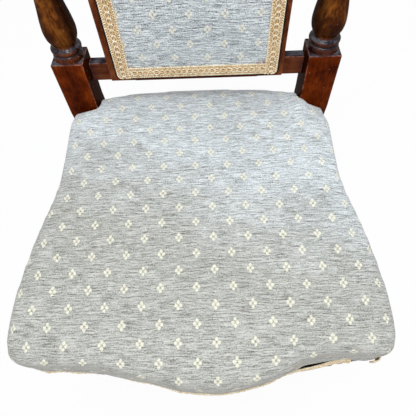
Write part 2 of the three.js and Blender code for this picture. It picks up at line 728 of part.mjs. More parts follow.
// Outline of the back panel in the back's own frame, drawn in by a distance: a straight foot, straight sides
// and an arched head.
const panelSteps = { foot: 4, side: 8, head: 8 };
function panelOutline(inset) {
  const half = panelWidth / 2 - inset;
  const low = -panelBelowBlock + inset;
  const headZ = (x) => panelShoulderHeight - inset + panelArch * (1 - (x / half) ** 2);
  const shoulder = headZ(half);
  const points = [];
  for (let i = 0; i < panelSteps.foot; i += 1) {
    points.push(at(-half + (2 * half * i) / panelSteps.foot, low));
  }
  for (let i = 0; i < panelSteps.side; i += 1) {
    points.push(at(half, low + ((shoulder - low) * i) / panelSteps.side));
  }
  for (let i = 0; i < panelSteps.head; i += 1) {
    const x = half - (2 * half * i) / panelSteps.head;
    points.push(at(x, headZ(x)));
  }
  for (let i = 0; i < panelSteps.side; i += 1) {
    points.push(at(-half, shoulder + ((low - shoulder) * i) / panelSteps.side));
  }
  return points;
}
const panelBackY = panelSetBack + panelThickness;
const openingX = panelWidth / 2 - panelMemberWidth;
const footTop = -panelBelowBlock + panelMemberWidth;
const headLow = panelShoulderHeight - panelMemberWidth;
const panelTall = panelShoulderHeight + panelArch + panelWidth;
const rebateY = panelSetBack + panelRebateDepth;
const panelBlank = upright(panelOutline(0), panelSetBack, panelBackY)
  .subtract(upright(panelOutline(panelMemberWidth), panelSetBack - overrun, panelBackY + overrun))
  .subtract(upright(panelOutline(panelRebateInset), panelSetBack - overrun, rebateY));
const panelTenonY = (rebateY + panelBackY - panelTenonThickness) / 2;
const panelTenonShoulder = panelMemberWidth / 5;
const panelFootTenon = (grow) => box(
  openingX - overrun, openingX + panelTenon + grow,
  panelTenonY - grow, panelTenonY + panelTenonThickness + grow,
  -panelBelowBlock + panelTenonShoulder - grow, footTop - panelTenonShoulder + grow);
const panelHeadTenon = (grow) => box(
  openingX - overrun, openingX + panelTenon + grow,
  panelTenonY - grow, panelTenonY + panelTenonThickness + grow,
  headLow + panelTenonShoulder * 2 - grow, panelShoulderHeight - panelTenonShoulder / 2 + grow);
const stile = panelBlank
  .intersect(box(openingX + fit, panelWidth, -panelWidth, panelWidth, -panelTall, panelTall))
  .subtract(panelFootTenon(fit))
  .subtract(panelHeadTenon(fit));
const between = (low, high) => box(-openingX, openingX, -panelWidth, panelWidth, low, high);
let panelFoot = panelBlank.intersect(between(-panelTall, footTop + overrun))
  .add(panelFootTenon(0)).add(onSide(panelFootTenon(0), -1));
let panelHead = panelBlank.intersect(between(headLow - overrun, panelTall))
  .add(panelHeadTenon(0)).add(onSide(panelHeadTenon(0), -1));

// The crest rail is arched, rebated in front for the head of the panel, and mortised for the posts' tenons.
const crestBottom = topBlockTop + fit;
const crestHalf = crestWidth / 2;
const crestEndTop = crestBottom + crestEndHeight;
const crestRearY = crestSetBack + crestThickness;
const crestSteps = 24;
const crestEndShare = 0.97;
const crestPoints = [
  at(-crestHalf + overrun, crestBottom),
  at(crestHalf - overrun, crestBottom),
  at(crestHalf, crestBottom + crestEndHeight / 3),
];
const crestArch = crestTop - crestEndTop;
for (let i = 0; i <= crestSteps; i += 1) {
  const x = crestHalf * (1 - (2 * i) / crestSteps) * crestEndShare;
  crestPoints.push(at(x, crestEndTop + crestArch * Math.cos((Math.PI * x) / crestWidth) ** 2));
}
crestPoints.push(at(-crestHalf, crestBottom + crestEndHeight / 3));
let crest = upright(crestPoints, crestSetBack, crestRearY)
  .subtract(upright(panelOutline(-fit), crestSetBack - overrun, panelBackY + fit))
  .subtract(topTenon(fit))
  .subtract(onSide(topTenon(fit), -1));

const backRailRearY = backRailY + backRailThickness;
let backRail = box(-postFaceX + fit, postFaceX - fit, backRailY, backRailRearY, backRailBottom, backRailTop)
  .add(backTenon(0));

// Screws through the lower rail and the crest rail hold the panel.
const panelScrewFootZ = (backRailTop - panelBelowBlock) / 2;
const panelScrewHeadZ = crestBottom + screwHeadRadius * 2;
const panelScrews = [];
for (const [name, side] of sides) {
  const x = side * (openingX - panelScrewFromStile);
  const low = aimed(x, backRailRearY - fit, panelScrewFootZ, forward);
  const high = aimed(x, crestRearY - fit, panelScrewHeadZ, forward);
  panelScrews.push([`lower_panel_screw_${name}`, low], [`upper_panel_screw_${name}`, high]);
  const lowHole = placed(screwHole(panelScrewLength, overrun), low);
  const highHole = placed(screwHole(panelScrewLength, overrun), high);
  backRail = backRail.subtract(lowHole);
  panelFoot = panelFoot.subtract(lowHole);
  crest = crest.subtract(highHole);
  panelHead = panelHead.subtract(highHole);
}
piece('lower_back_rail', backRail, mahogany, back);
piece('crest_rail', crest, mahogany, back);
piece('panel_bottom_rail', panelFoot, mahogany, back);
piece('panel_top_rail', panelHead, mahogany, back);
for (const [name, side] of sides) {
  piece(`panel_stile_${name}`, onSide(stile, side), mahogany, back);
}
for (const [name, matrix] of panelScrews) {
  piece(name, placed(woodScrew(panelScrewLength), matrix), steel, back);
}

// The panel's upholstery, from the back forwards: canvas in the frame's rebate, stuffing, a thinly crowned
// cover and a loop of gimp over its edge. Heights of the rings are measured forwards.
const panelCentre = new THREE.Vector2(0, (panelShoulderHeight - panelBelowBlock) / 2);
const stand = new THREE.Matrix4().makeRotationX(Math.PI / 2);
const canvasBackY = rebateY - fit;
const canvasFrontY = canvasBackY - panelCanvasThickness;
const panelCanvas = upright(panelOutline(panelRebateInset + fit), canvasFrontY, canvasBackY);
piece('panel_canvas', panelCanvas, hessian, back);
const coverBackY = panelSetBack - fit;
const coverFrontY = coverBackY - panelCoverThickness;
const gimpInner = panelMargin + panelGimpWidth;
const panelCrownShares = [0.12, 0.35, 0.7];
function crowned(rimBackY, rimFrontY, rimInset, flatInset) {
  const rings = [
    { points: panelOutline(rimInset), z: -rimBackY },
    { points: panelOutline(rimInset), z: -rimFrontY },
  ];
  if (flatInset > rimInset) {
    rings.push({ points: panelOutline(flatInset), z: -rimFrontY });
  }
  const rim = panelOutline(flatInset);
  for (const share of panelCrownShares) {
    rings.push({
      points: rim.map((p) => p.clone().lerp(panelCentre, share)),
      z: -rimFrontY + panelCrown * (1 - (1 - share) ** 3),
    });
  }
  rings[rings.length - 1].middle = -rimFrontY + panelCrown;
  return placed(lofted(rings, panelCentre), stand);
}
const hollowInset = gimpInner + fit * 2;
const stuffedInset = gimpInner + fit * 3;
const panelCover = crowned(coverBackY, coverFrontY, panelMargin + overrun * 2, gimpInner + fit)
  .subtract(crowned(coverBackY + overrun, coverBackY, hollowInset, hollowInset));
piece('panel_cover', panelCover, chenille, back);
const panelStuffing = crowned(canvasFrontY - fit, coverBackY + fit, stuffedInset, stuffedInset);
piece('panel_stuffing', panelStuffing, horsehair, back);
const gimpBackY = coverFrontY - fit;
const gimpFrontY = gimpBackY - panelGimpThickness;
const panelGimp = upright(panelOutline(panelMargin), gimpFrontY, gimpBackY)
  .subtract(upright(panelOutline(gimpInner), gimpFrontY - overrun, gimpBackY + overrun));
piece('panel_gimp', panelGimp, braid, back);

// The outside of the panel: a flat cloth between the two back rails, edged with gimp.
const outsideHalf = panelWidth / 2 - panelMargin;
const outsideLow = backRailTop + fit * 3;
const outsideHigh = crestBottom - fit * 3;
const outsideY = panelBackY + fit;
const outsideBackY = outsideY + panelCoverThickness;
const outsideCloth = box(-outsideHalf, outsideHalf, outsideY, outsideBackY, outsideLow, outsideHigh);
piece('outside_back_cover', outsideCloth, chenille, back);
function outsideGimpBlank(inset, frontGrow) {
  const half = outsideHalf - inset;
  const gimpFaceY = outsideBackY + fit;
  return box(-half, half, gimpFaceY - frontGrow, gimpFaceY + panelGimpThickness + frontGrow,
    outsideLow + inset, outsideHigh - inset);
}
const outsideGimp = outsideGimpBlank(0, 0).subtract(outsideGimpBlank(panelGimpWidth, overrun));
piece('outside_back_gimp', outsideGimp, braid, back);

export default chair;
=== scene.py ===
# A side chair with a stuffed-over seat in blue-grey chenille, turned mahogany posts and a framed panel back.
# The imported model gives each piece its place. This script gives it its surface and its finish.
import json
from math import cos, exp, pi, radians, sin
from random import Random

import bmesh
import bpy
from mathutils import Matrix, Vector, noise


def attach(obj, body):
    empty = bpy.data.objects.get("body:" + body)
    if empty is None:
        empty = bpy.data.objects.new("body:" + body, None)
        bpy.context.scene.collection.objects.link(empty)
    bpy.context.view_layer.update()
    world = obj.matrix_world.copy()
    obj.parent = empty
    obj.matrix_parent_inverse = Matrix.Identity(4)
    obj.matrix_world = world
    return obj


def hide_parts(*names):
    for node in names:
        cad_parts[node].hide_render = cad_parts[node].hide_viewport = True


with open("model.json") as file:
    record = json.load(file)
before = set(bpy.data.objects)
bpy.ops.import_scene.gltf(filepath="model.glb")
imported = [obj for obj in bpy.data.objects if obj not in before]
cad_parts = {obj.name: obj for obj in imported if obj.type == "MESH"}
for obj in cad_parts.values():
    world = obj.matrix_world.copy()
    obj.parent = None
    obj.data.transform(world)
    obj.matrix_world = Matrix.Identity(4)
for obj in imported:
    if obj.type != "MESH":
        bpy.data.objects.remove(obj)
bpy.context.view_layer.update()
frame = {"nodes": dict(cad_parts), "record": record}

MM = 0.001


# The camera looks down on the seat from above its front edge, as the photograph does. Its place, its turn and
# its focal length follow from the even spacing of the woven sprigs, the posts and the outline of the seat.
PHOTO_SIDE = 416
FOCAL_PIXELS = 380
CAMERA_PLACE = Vector((26.7, -247.2, 913.5)) * MM
CAMERA_YAW = radians(-3.402)
CAMERA_PITCH = radians(65.133)
CAMERA_ROLL = radians(-4.558)

camera_ahead = Vector((
    sin(CAMERA_YAW) * cos(CAMERA_PITCH),
    cos(CAMERA_YAW) * cos(CAMERA_PITCH),
    -sin(CAMERA_PITCH),
))
camera_level = Vector((cos(CAMERA_YAW), -sin(CAMERA_YAW), 0))
camera_above = camera_level.cross(camera_ahead)
camera_right = cos(CAMERA_ROLL) * camera_level + sin(CAMERA_ROLL) * camera_above
camera_up = cos(CAMERA_ROLL) * camera_above - sin(CAMERA_ROLL) * camera_level

lens = bpy.data.cameras.new("camera")
lens.sensor_width = 36
lens.lens = lens.sensor_width * FOCAL_PIXELS / PHOTO_SIDE
camera = bpy.data.objects.new("camera", lens)
camera_turn = Matrix((camera_right, camera_up, -camera_ahead)).transposed()
camera.matrix_world = Matrix.Translation(CAMERA_PLACE) @ camera_turn.to_4x4()
bpy.context.scene.collection.objects.link(camera)
bpy.context.scene.camera = camera
bpy.context.scene.view_settings.view_transform = "Standard"


# French polished mahogany. The square parts are deep red-brown, and the turned uprights have worn to amber.
# Dust and a painted bluish reflection of the sky dull what faces up, the arrises are rubbed pale, and there
# are small dents and specks all over.
def paint(red, green, blue):
    """A colour given as it looks, from 0 to 255, as the light that it sends back."""
    shares = [value / 255 for value in (red, green, blue)]
    return tuple(s / 12.92 if s <= 0.04045 else ((s + 0.055) / 1.055) ** 2.4 for s in shares) + (1,)


class Shade:
    """A socket of a finish. Python's operators on it stand for Math nodes."""

    def __init__(self, finish, socket):
        self.finish = finish
        self.socket = socket

    def math(self, operation, *values):
        return self.finish.node("ShaderNodeMath", {"operation": operation}, dict(enumerate(values)))

    def __add__(self, other):
        return self.math("ADD", self, other)

    def __radd__(self, other):
        return self.math("ADD", other, self)

    def __sub__(self, other):
        return self.math("SUBTRACT", self, other)

    def __rsub__(self, other):
        return self.math("SUBTRACT", other, self)

    def __mul__(self, other):
        return self.math("MULTIPLY", self, other)

    def __rmul__(self, other):
        return self.math("MULTIPLY", other, self)

    def __truediv__(self, other):
        return self.math("DIVIDE", self, other)

    def __pow__(self, other):
        return self.math("POWER", self, other)

    def __abs__(self):
        return self.math("ABSOLUTE", self)

    def sine(self):
        return self.math("SINE", self)

    def folded(self, half):
        """The distance to the nearest whole multiple of twice the half."""
        return self.math("PINGPONG", self, half)

    def least(self, other):
        return self.math("MINIMUM", self, other)

    def step(self, low, high):
        """A number that rises smoothly from 0 at low to 1 at high, or falls where low is the larger."""
        sockets = {0: self, 1: low, 2: high, 3: 0.0, 4: 1.0}
        if low > high:
            sockets = {0: self, 1: high, 2: low, 3: 1.0, 4: 0.0}
        return self.finish.node("ShaderNodeMapRange", {"interpolation_type": "SMOOTHSTEP"}, sockets)


class Finish:
    """A material under construction, on one Principled surface."""

    def __init__(self, name, **surface):
        self.material = bpy.data.materials.new(name)
        self.material.use_nodes = True
        self.surface = self.material.node_tree.nodes["Principled BSDF"]
        for socket, value in surface.items():
            self.surface.inputs[socket.replace("_", " ")].default_value = value

    def node(self, kind, settings=None, sockets=None, out=0):
        """A node of any kind. Its settings come first, then the values or links of its sockets."""
        made = self.material.node_tree.nodes.new(kind)
        for name, value in (settings or {}).items():
            if name != "stops":
                setattr(made, name, value)
                continue
            ramp = made.color_ramp.elements
            while len(ramp) < len(value):
                ramp.new(0.5)
            for element, (place, colour) in zip(ramp, value):
                element.position = place
                element.color = colour
        for name, value in (sockets or {}).items():
            self.feed(made.inputs[name], value)
        return Shade(self, made.outputs[out])

    def feed(self, socket, value):
        if isinstance(value, Shade):
            self.material.node_tree.links.new(value.socket, socket)
        else:
            socket.default_value = value

    def place(self):
        return self.node("ShaderNodeTexCoord", out="Object")

    def mapped(self, vector, scale=(1, 1, 1), turn=(0, 0, 0), shift=(0, 0, 0)):
        sockets = {"Vector": vector, "Scale": scale, "Rotation": turn, "Location": shift}
        return self.node("ShaderNodeMapping", None, sockets)

    def grained(self, vector, scale, detail=2.0, rough=0.5):
        sockets = {"Vector": vector, "Scale": scale, "Detail": detail, "Roughness": rough}
        return self.node("ShaderNodeTexNoise", None, sockets)

    def ramp(self, value, *stops):
        return self.node("ShaderNodeValToRGB", {"stops": stops}, {0: value})

    def component(self, vector, axis):
        return self.node("ShaderNodeSeparateXYZ", None, {0: vector}, out=axis)

    def mixed(self, share, first, second):
        return self.node("ShaderNodeMix", {"data_type": "RGBA"}, {0: share, 6: first, 7: second}, out=2)

    def colour(self, value):
        self.feed(self.surface.inputs["Base Color"], value)

    def roughness(self, value):
        self.feed(self.surface.inputs["Roughness"], value)

    def relief(self, height, depth):
        """Bump of the given depth, in metres, where the height is 1."""
        bump = self.node("ShaderNodeBump", None, {"Height": height, "Distance": depth, "Strength": 1.0})
        self.feed(self.surface.inputs["Normal"], bump)


def mahogany(name, deep, middle, bright, turn=(0, 0, 0), wear=0.7, dust_and_reflection_share=0.9, polish=0.1, shade_and_grime_from=None):
    """Mahogany with its grain along Z, once turned. Faces that look to the middle are darker: painted shade,
    and old dark polish that stays there.

    Farther from the middle than the given distance in metres, the wood is darkened by painted contact shade
    and grime."""
    finish = Finish(name, Coat_Weight=polish, Coat_Roughness=0.12, Specular_IOR_Level=0.0)
    place = finish.mapped(finish.place(), turn=turn)
    figure = finish.grained(finish.mapped(place, scale=(30, 30, 5)), 1.0, 5.0, 0.62)
    streak = finish.grained(finish.mapped(place, scale=(330, 330, 14)), 1.0, 3.0, 0.6)
    blotch = finish.grained(place, 46.0, 3.0, 0.55)
    tone = figure * 0.46 + streak * 0.24 + blotch * 0.3
    wood = finish.ramp(tone, (0.38, paint(*deep)), (0.5, paint(*middle)), (0.62, paint(*bright)))

    normal = finish.node("ShaderNodeNewGeometry", out="Normal")
    facing = finish.component(normal, "X")
    aside = finish.component(finish.place(), "X")
    # Painted shade: faces that look to the chair's middle are darkened by their direction, with old dark
    # polish there too.
    inward_shade_and_polish = (facing * aside * -6.0).step(0.35, 0.95)
    wood = finish.mixed(inward_shade_and_polish * 0.85, wood, paint(22, 9, 5))
    # Painted contact shade with some grime, near the ends where a rail meets the blocks.
    if shade_and_grime_from:
        shade_and_grime = (abs(aside) + (blotch - 0.5) * 0.03).step(shade_and_grime_from, shade_and_grime_from + 0.02)
        wood = finish.mixed(shade_and_grime * 0.55, wood, paint(34, 24, 38))
    # What faces up turns bluish grey: dust, and a painted reflection of the sky.
    upward = finish.component(normal, "Z")
    dust_and_sky_reflection = upward.step(0.3, 0.9) * (0.8 + blotch * 0.4)
    dust_and_reflection_colour = finish.ramp(blotch * 0.6 + streak * 0.4, (0.42, paint(22, 24, 34)), (0.6, paint(84, 88, 94)))
    wood = finish.mixed(dust_and_sky_reflection * dust_and_reflection_share, wood, dust_and_reflection_colour)

    rubbed = finish.node("ShaderNodeAttribute", {"attribute_name": "rubbed"}, out="Fac")
    patchy = finish.grained(place, 140.0, 2.0).step(0.35, 0.7)
    wood = finish.mixed(rubbed * patchy * wear, wood, paint(164, 104, 84))

    cells = finish.node("ShaderNodeTexVoronoi", None, {"Vector": place, "Scale": 85.0, "Randomness": 1.0})
    speck = cells.step(0.11, 0.05)
    wood = finish.mixed(speck * 0.6, wood, paint(150, 96, 70))
    hollows = finish.node("ShaderNodeTexVoronoi", None, {"Vector": place, "Scale": 31.0, "Randomness": 1.0})
    dent = hollows.step(0.13, 0.03)
    wood = finish.mixed(dent * 0.55, wood, paint(26, 20, 26))
    finish.colour(wood)
    finish.roughness(0.3 + blotch * 0.2 + dust_and_sky_reflection * 0.1)
    finish.relief(streak * 0.12 + blotch * 0.25 - dent * 0.8 - speck * 0.2, 0.5 * MM)
    return finish.material


RAKE = radians(8)
LEAN = (-RAKE, 0, 0)
ACROSS = (0, pi / 2, 0)
block_wood = mahogany("mahogany_block", (56, 15, 2), (94, 34, 5), (130, 57, 14), turn=LEAN, polish=0.05)
upright_wood = mahogany("mahogany_upright", (34, 12, 3), (74, 35, 10), (134, 78, 28), turn=LEAN, polish=0.07)
collar_wood = mahogany("mahogany_collar", (36, 11, 4), (74, 28, 9), (122, 64, 24), turn=LEAN, polish=0.28)
leg_wood = mahogany("mahogany_leg", (46, 14, 6), (78, 29, 12), (104, 46, 18), polish=0.2)
rail_wood = mahogany("mahogany_rail", (44, 17, 10), (78, 34, 18), (108, 54, 28), turn=ACROSS, polish=0.02)
cross_rail_wood = mahogany(
    "mahogany_cross_rail", (58, 25, 16), (98, 50, 32), (128, 72, 46), turn=ACROSS, polish=0.02,
    shade_and_grime_from=0.143)
stile_wood = mahogany("mahogany_stile", (58, 22, 10), (98, 48, 24), (132, 74, 42), turn=LEAN, polish=0.05)


# Rear posts. Each is one timber: a square leg that sweeps back, a square block above the seat, a turned
# upright and a small top block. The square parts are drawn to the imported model's sizes, a little wider
# outwards below the upright, and the turning is spun on its own axis.
BACK_ORIGIN = Vector((0, 166.6, 514.5)) * MM
BACK = Matrix.Translation(BACK_ORIGIN) @ Matrix.Rotation(-RAKE, 4, 'X')
POST_X = 182.5
POST_SIDE = 44
UPRIGHT_LENGTH = 290
UPRIGHT_SHARES = [
    (0.79, 0.086), (0.9, 0.097), (0.985, 0.114), (1.03, 0.139), (1.02, 0.165), (0.955, 0.205), (0.86, 0.247),
    (0.74, 0.31), (0.64, 0.4), (0.58, 0.52), (0.58, 0.66), (0.64, 0.8), (0.7, 0.87),
]
COLLAR_TOP = 23.4
SAME_PLACE = 0.01 * MM
HEAVY_ARRIS = 1.6
LIGHT_ARRIS = 1.4
SIDES = (("left", -1), ("right", 1))


def whole_faces(node):
    """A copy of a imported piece, with its triangles made whole faces again."""
    bm = bmesh.new()
    bm.from_mesh(frame["nodes"][node].data)
    bmesh.ops.remove_doubles(bm, verts=bm.verts, dist=SAME_PLACE)
    bmesh.ops.dissolve_limit(bm, angle_limit=radians(0.4), verts=bm.verts, edges=bm.edges)
    return bm


def closed(bm):
    bmesh.ops.holes_fill(bm, edges=[edge for edge in bm.edges if edge.is_boundary])


def kept_above(bm, point, direction):
    """Cuts a solid by a plane, keeps what lies in the direction and closes the cut."""
    geometry = bm.verts[:] + bm.edges[:] + bm.faces[:]
    bmesh.ops.bisect_plane(bm, geom=geometry, plane_co=point, plane_no=direction, clear_inner=True)
    closed(bm)


def sawn(outline, start, end):
    """A board from an outline drawn across and up in millimetres, sawn square from start to end in depth."""
    bm = bmesh.new()
    face = bm.faces.new([bm.verts.new((x * MM, start * MM, z * MM)) for x, z in outline])
    through = bmesh.ops.extrude_face_region(bm, geom=[face])
    moved = [item for item in through["geom"] if isinstance(item, bmesh.types.BMVert)]
    bmesh.ops.translate(bm, verts=moved, vec=(0, (end - start) * MM, 0))
    bmesh.ops.recalc_face_normals(bm, faces=bm.faces)
    return bm


def put(bm, place):
    bmesh.ops.transform(bm, matrix=place, verts=bm.verts)
    return bm


def squared(left, right, low, high):
    return [(left, low), (right, low), (right, high), (left, high)]


def rounded_off(bm, edges, width, segments):
    """Rounds the given edges of a solid and gives the faces of the rounding."""
    made = bmesh.ops.bevel(
        bm, geom=edges, offset=width, segments=segments, profile=0.5, affect='EDGES', material=-1,
        clamp_overlap=True)
    return set(made["faces"])


def ease(bm, width, joined=lambda co: False):
    """Rounds the arrises of sawn timber, but not those that lie in a joint, and marks them as rubbed."""
    rubbed = bm.verts.layers.float.new("rubbed")
    arrises = [
        edge for edge in bm.edges
        if edge.calc_face_angle(0) > radians(25) and not all(joined(vert.co) for vert in edge.verts)
    ]
    rounded = rounded_off(bm, arrises, width, 4)
    for vert in bm.verts:
        if all(face in rounded for face in vert.link_faces):
            vert[rubbed] = 1.0
    smooth_below(bm, radians(24))
    return bm


def smooth_below(bm, angle):
    for face in bm.faces:
        face.smooth = True
    for edge in bm.edges:
        edge.smooth = edge.calc_face_angle(pi) < angle


def bead(radius, height, half, steps=10):
    """The rounded side of a turned bead, as pairs of radius and height."""
    angles = [-pi / 2 + pi * i / steps for i in range(steps + 1)]
    return [(radius - half * (1 - cos(a)), height + half * sin(a)) for a in angles]


def flowing(points, steps=6):
    """A smooth line through a few points, with the given number of steps from each to the next."""
    padded = [points[0], *points, points[-1]]
    line = []
    for a, b, c, d in zip(padded, padded[1:], padded[2:], padded[3:]):
        for i in range(steps):
            t = i / steps
            line.append(tuple(
                0.5 * (2 * q + (r - p) * t + (2 * p - 5 * q + 4 * r - s) * t ** 2
                       + (3 * q - p - 3 * r + s) * t ** 3)
                for p, q, r, s in zip(a, b, c, d)))
    return line + [points[-1]]


def turned(profile, place, sides=72):
    """A solid of revolution from pairs of radius and height in millimetres, put in place by a matrix."""
    bm = bmesh.new()
    verts = [bm.verts.new((radius * MM, 0, height * MM)) for radius, height in profile]
    edges = [bm.edges.new(pair) for pair in zip(verts, verts[1:])]
    bmesh.ops.spin(
        bm, geom=verts + edges, cent=(0, 0, 0), axis=(0, 0, 1), angle=2 * pi, steps=sides, use_merge=True)
    bmesh.ops.remove_doubles(bm, verts=bm.verts, dist=SAME_PLACE)
    bmesh.ops.recalc_face_normals(bm, faces=bm.faces)
    smooth_below(bm, radians(38))
    return put(bm, place)


def gathered(*shells):
    """Several solids in one mesh. A shell's place in the list is its material's."""
    whole = bmesh.new()
    for index, shell in enumerate(shells):
        for face in shell.faces:
            face.material_index = index
        mesh = bpy.data.meshes.new("shell")
        shell.to_mesh(mesh)
        shell.free()
        whole.from_mesh(mesh)
        bpy.data.meshes.remove(mesh)
    return whole


def piece(name, bm, finishes, slot, *nodes):
    """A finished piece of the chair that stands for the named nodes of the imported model."""
    mesh = bpy.data.meshes.new(name)
    bm.to_mesh(mesh)
    bm.free()
    for finish in finishes:
        mesh.materials.append(finish)
    made = bpy.data.objects.new(f"finished_{name}", mesh)
    bpy.context.scene.collection.objects.link(made)
    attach(made, "root")
    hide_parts(*nodes)
    return made


half_post = POST_SIDE / 2
upright_profile = [
    (0, -1), (21.9, -1), (21.9, 0.4), (21.6, 0.8), (21.9, 3.2), (21.7, 6.2), (21.1, 8.4), (20.3, 9.7),
    (19.2, 10.3), (18.9, 11.1), (19.4, 11.9), (20.7, 12.5), (21.7, 13.7), (22.0, 15.3), (21.8, 16.8),
    (21.0, 18.2), (19.8, 19.2), (18.4, 19.9), (17.5, 20.9), (17.0, 22.1), (16.8, COLLAR_TOP),
    *flowing([(half_post * r, UPRIGHT_LENGTH * h) for r, h in UPRIGHT_SHARES]),
    (14.6, UPRIGHT_LENGTH * 0.882),
    *bead(half_post * 0.86, UPRIGHT_LENGTH * 0.9, 4.6),
    (14.4, UPRIGHT_LENGTH * 0.92), (15.4, UPRIGHT_LENGTH * 0.93), (17.6, UPRIGHT_LENGTH * 0.96),
    (17.8, UPRIGHT_LENGTH * 0.985), (17.8, UPRIGHT_LENGTH + 1), (0, UPRIGHT_LENGTH + 1),
]

OUTWARD_SPARE = 2.2
POST_FRONT_Y = 154.03
POST_REAR_Y = 198.46
FOOT_FRONT_Y = POST_FRONT_Y + 48
FOOT_DEPTH = 36
KNEE_Z = 352
BEND_Z = 425
BACK_Y = 166.6
BLOCK_TOP = 514.5
TOP_BLOCK_HALF = 19
TOP_BLOCK_TOP = 330
TURNED_FINISH = 1
COLLAR_FINISH = 3


def swept(knee, foot, steps=14):
    """The curve of the lower leg in side view, from its knee down to its foot."""
    middle = knee[0] + 8
    points = []
    for i in range(steps + 1):
        t = i / steps
        y = (1 - t) ** 2 * knee[0] + 2 * t * (1 - t) * middle + t ** 2 * foot
        z = (1 - t) ** 2 * knee[1] + t * (1 - t) * knee[1]
        points.append((y, z))
    return points


post_side_view = [
    *swept((POST_FRONT_Y, KNEE_Z), FOOT_FRONT_Y),
    *reversed(swept((POST_REAR_Y, KNEE_Z), FOOT_FRONT_Y + FOOT_DEPTH)),
    (POST_REAR_Y, BEND_Z),
    (BACK_Y + POST_SIDE * cos(RAKE), BLOCK_TOP - POST_SIDE * sin(RAKE)),
    (BACK_Y, BLOCK_TOP),
    (POST_FRONT_Y, BEND_Z),
]
SIDE_VIEW = Matrix(((0, 1, 0, 0), (1, 0, 0, 0), (0, 0, 1, 0), (0, 0, 0, 1)))
for side, sign in SIDES:
    node = f"rear_post_{side}"
    post_x = sign * POST_X
    ends = sorted((sign * (POST_X - half_post), sign * (POST_X + half_post + OUTWARD_SPARE)))
    lower = put(sawn(post_side_view, *ends), SIDE_VIEW)
    bmesh.ops.recalc_face_normals(lower, faces=lower.faces)
    for vert in lower.verts:
        taper = (POST_SIDE - FOOT_DEPTH) / 2 * max(0, 1 - vert.co.z / (KNEE_Z * MM)) * MM
        vert.co.x += taper if vert.co.x < post_x * MM else -taper
    ease(lower, HEAVY_ARRIS * MM)
    head_outline = squared(post_x - TOP_BLOCK_HALF, post_x + TOP_BLOCK_HALF, UPRIGHT_LENGTH, TOP_BLOCK_TOP)
    top_block = sawn(head_outline, half_post - TOP_BLOCK_HALF, half_post + TOP_BLOCK_HALF)
    upper = put(ease(top_block, LIGHT_ARRIS * MM), BACK)
    axis = BACK @ Matrix.Translation(Vector((post_x, half_post, 0)) * MM)
    turning = turned(upright_profile, axis)
    post = gathered(lower, turning, upper)
    to_axis = axis.inverted()
    for face in post.faces:
        low = (to_axis @ face.calc_center_median()).z < COLLAR_TOP * MM
        if low and face.material_index == TURNED_FINISH:
            face.material_index = COLLAR_FINISH
    piece(node, post, [block_wood, upright_wood, block_wood, collar_wood], "mahogany", node)


# Front legs. A square block takes the ends of two rails and stands out below them. Under it are a collar and
# bead, a vase, a second bead, a long taper, a small bead and a foot, turned in one piece with the block.
LEG_X = 213
LEG_Y = -198.97
LEG_RADIUS = 23
LEG_BLOCK_BOTTOM = 332
LEG_VASE_SHARES = [
    (0.62, 0.6), (0.6, 0.63), (0.72, 0.67), (0.9, 0.72),
    (0.97, 0.76), (0.9, 0.81), (0.74, 0.86), (0.64, 0.905),
]
LEG_TAPER_SHARES = [(0.52, 0.15), (0.68, 0.3), (0.8, 0.43), (0.82, 0.47)]


def leg_points(shares):
    return [(LEG_RADIUS * r, LEG_BLOCK_BOTTOM * h) for r, h in shares]


leg_profile = [
    (0, 0), (10.5, 0), (11.6, 1.2),
    *flowing(leg_points([(0.55, 0.01), (0.64, 0.035), (0.62, 0.07), (0.48, 0.1)])),
    *bead(LEG_RADIUS * 0.68, LEG_BLOCK_BOTTOM * 0.125, 4.4),
    *flowing(leg_points(LEG_TAPER_SHARES)),
    *leg_points([(0.92, 0.483), (0.93, 0.5), (0.9, 0.511), (0.8, 0.52)]),
    *bead(LEG_RADIUS, LEG_BLOCK_BOTTOM * 0.545, 7.2),
    *flowing(leg_points(LEG_VASE_SHARES)),
    *bead(LEG_RADIUS * 0.95, LEG_BLOCK_BOTTOM * 0.935, 6),
    *leg_points([(0.78, 0.958), (0.9, 0.965), (0.95, 0.978), (0.95, 1.003), (0, 1.003)]),
]
FRONT_DRIFT = [
    (-245, 5), (-205, 5.5), (-183, 3), (-165, 3.6), (-140, 1.4), (-117, -1.4), (-100, -2.2), (-60, -5),
    (-20, -1), (40, 2.5), (85, 2.5), (100, 1.5), (118, -3.4), (135, -6.6), (150, -6.8), (165, -7),
    (188, -6.6), (203, -2.5), (214, 0.5), (229, 2.5), (245, 4.5),
]
DRIFT_REACH = (120, 200)
LEDGE_Z = 366.6
LEDGE_STEP = 0.8
FOOT_ARRIS = 1.5


def smooth_step(value, low, high):
    t = min(1, max(0, (value - low) / (high - low)))
    return t * t * (3 - 2 * t)


def drifted(x, y):
    """How far the hand-pulled cloth stands before the drawn line of the seat's front, in millimetres."""
    for (left, before), (right, after) in zip(FRONT_DRIFT, FRONT_DRIFT[1:]):
        if x <= right:
            break
    amount = before + (after - before) * smooth_step(x, left, right)
    return amount * smooth_step(-y, *DRIFT_REACH)


def sliced(bm, place, direction):
    """Cuts new edges into a solid along a plane."""
    geometry = bm.verts[:] + bm.edges[:] + bm.faces[:]
    bmesh.ops.bisect_plane(bm, geom=geometry, plane_co=place, plane_no=direction)


def cut_back(bm, above=0):
    """Takes wood off the face that looks forward, above a height, where the cloth is pulled in over it."""
    bm.normal_update()
    for vert in {vert for face in bm.faces if face.normal.y < -0.3 for vert in face.verts}:
        if vert.co.z > above * MM:
            vert.co.y -= min(0, drifted(vert.co.x / MM, vert.co.y / MM)) * MM


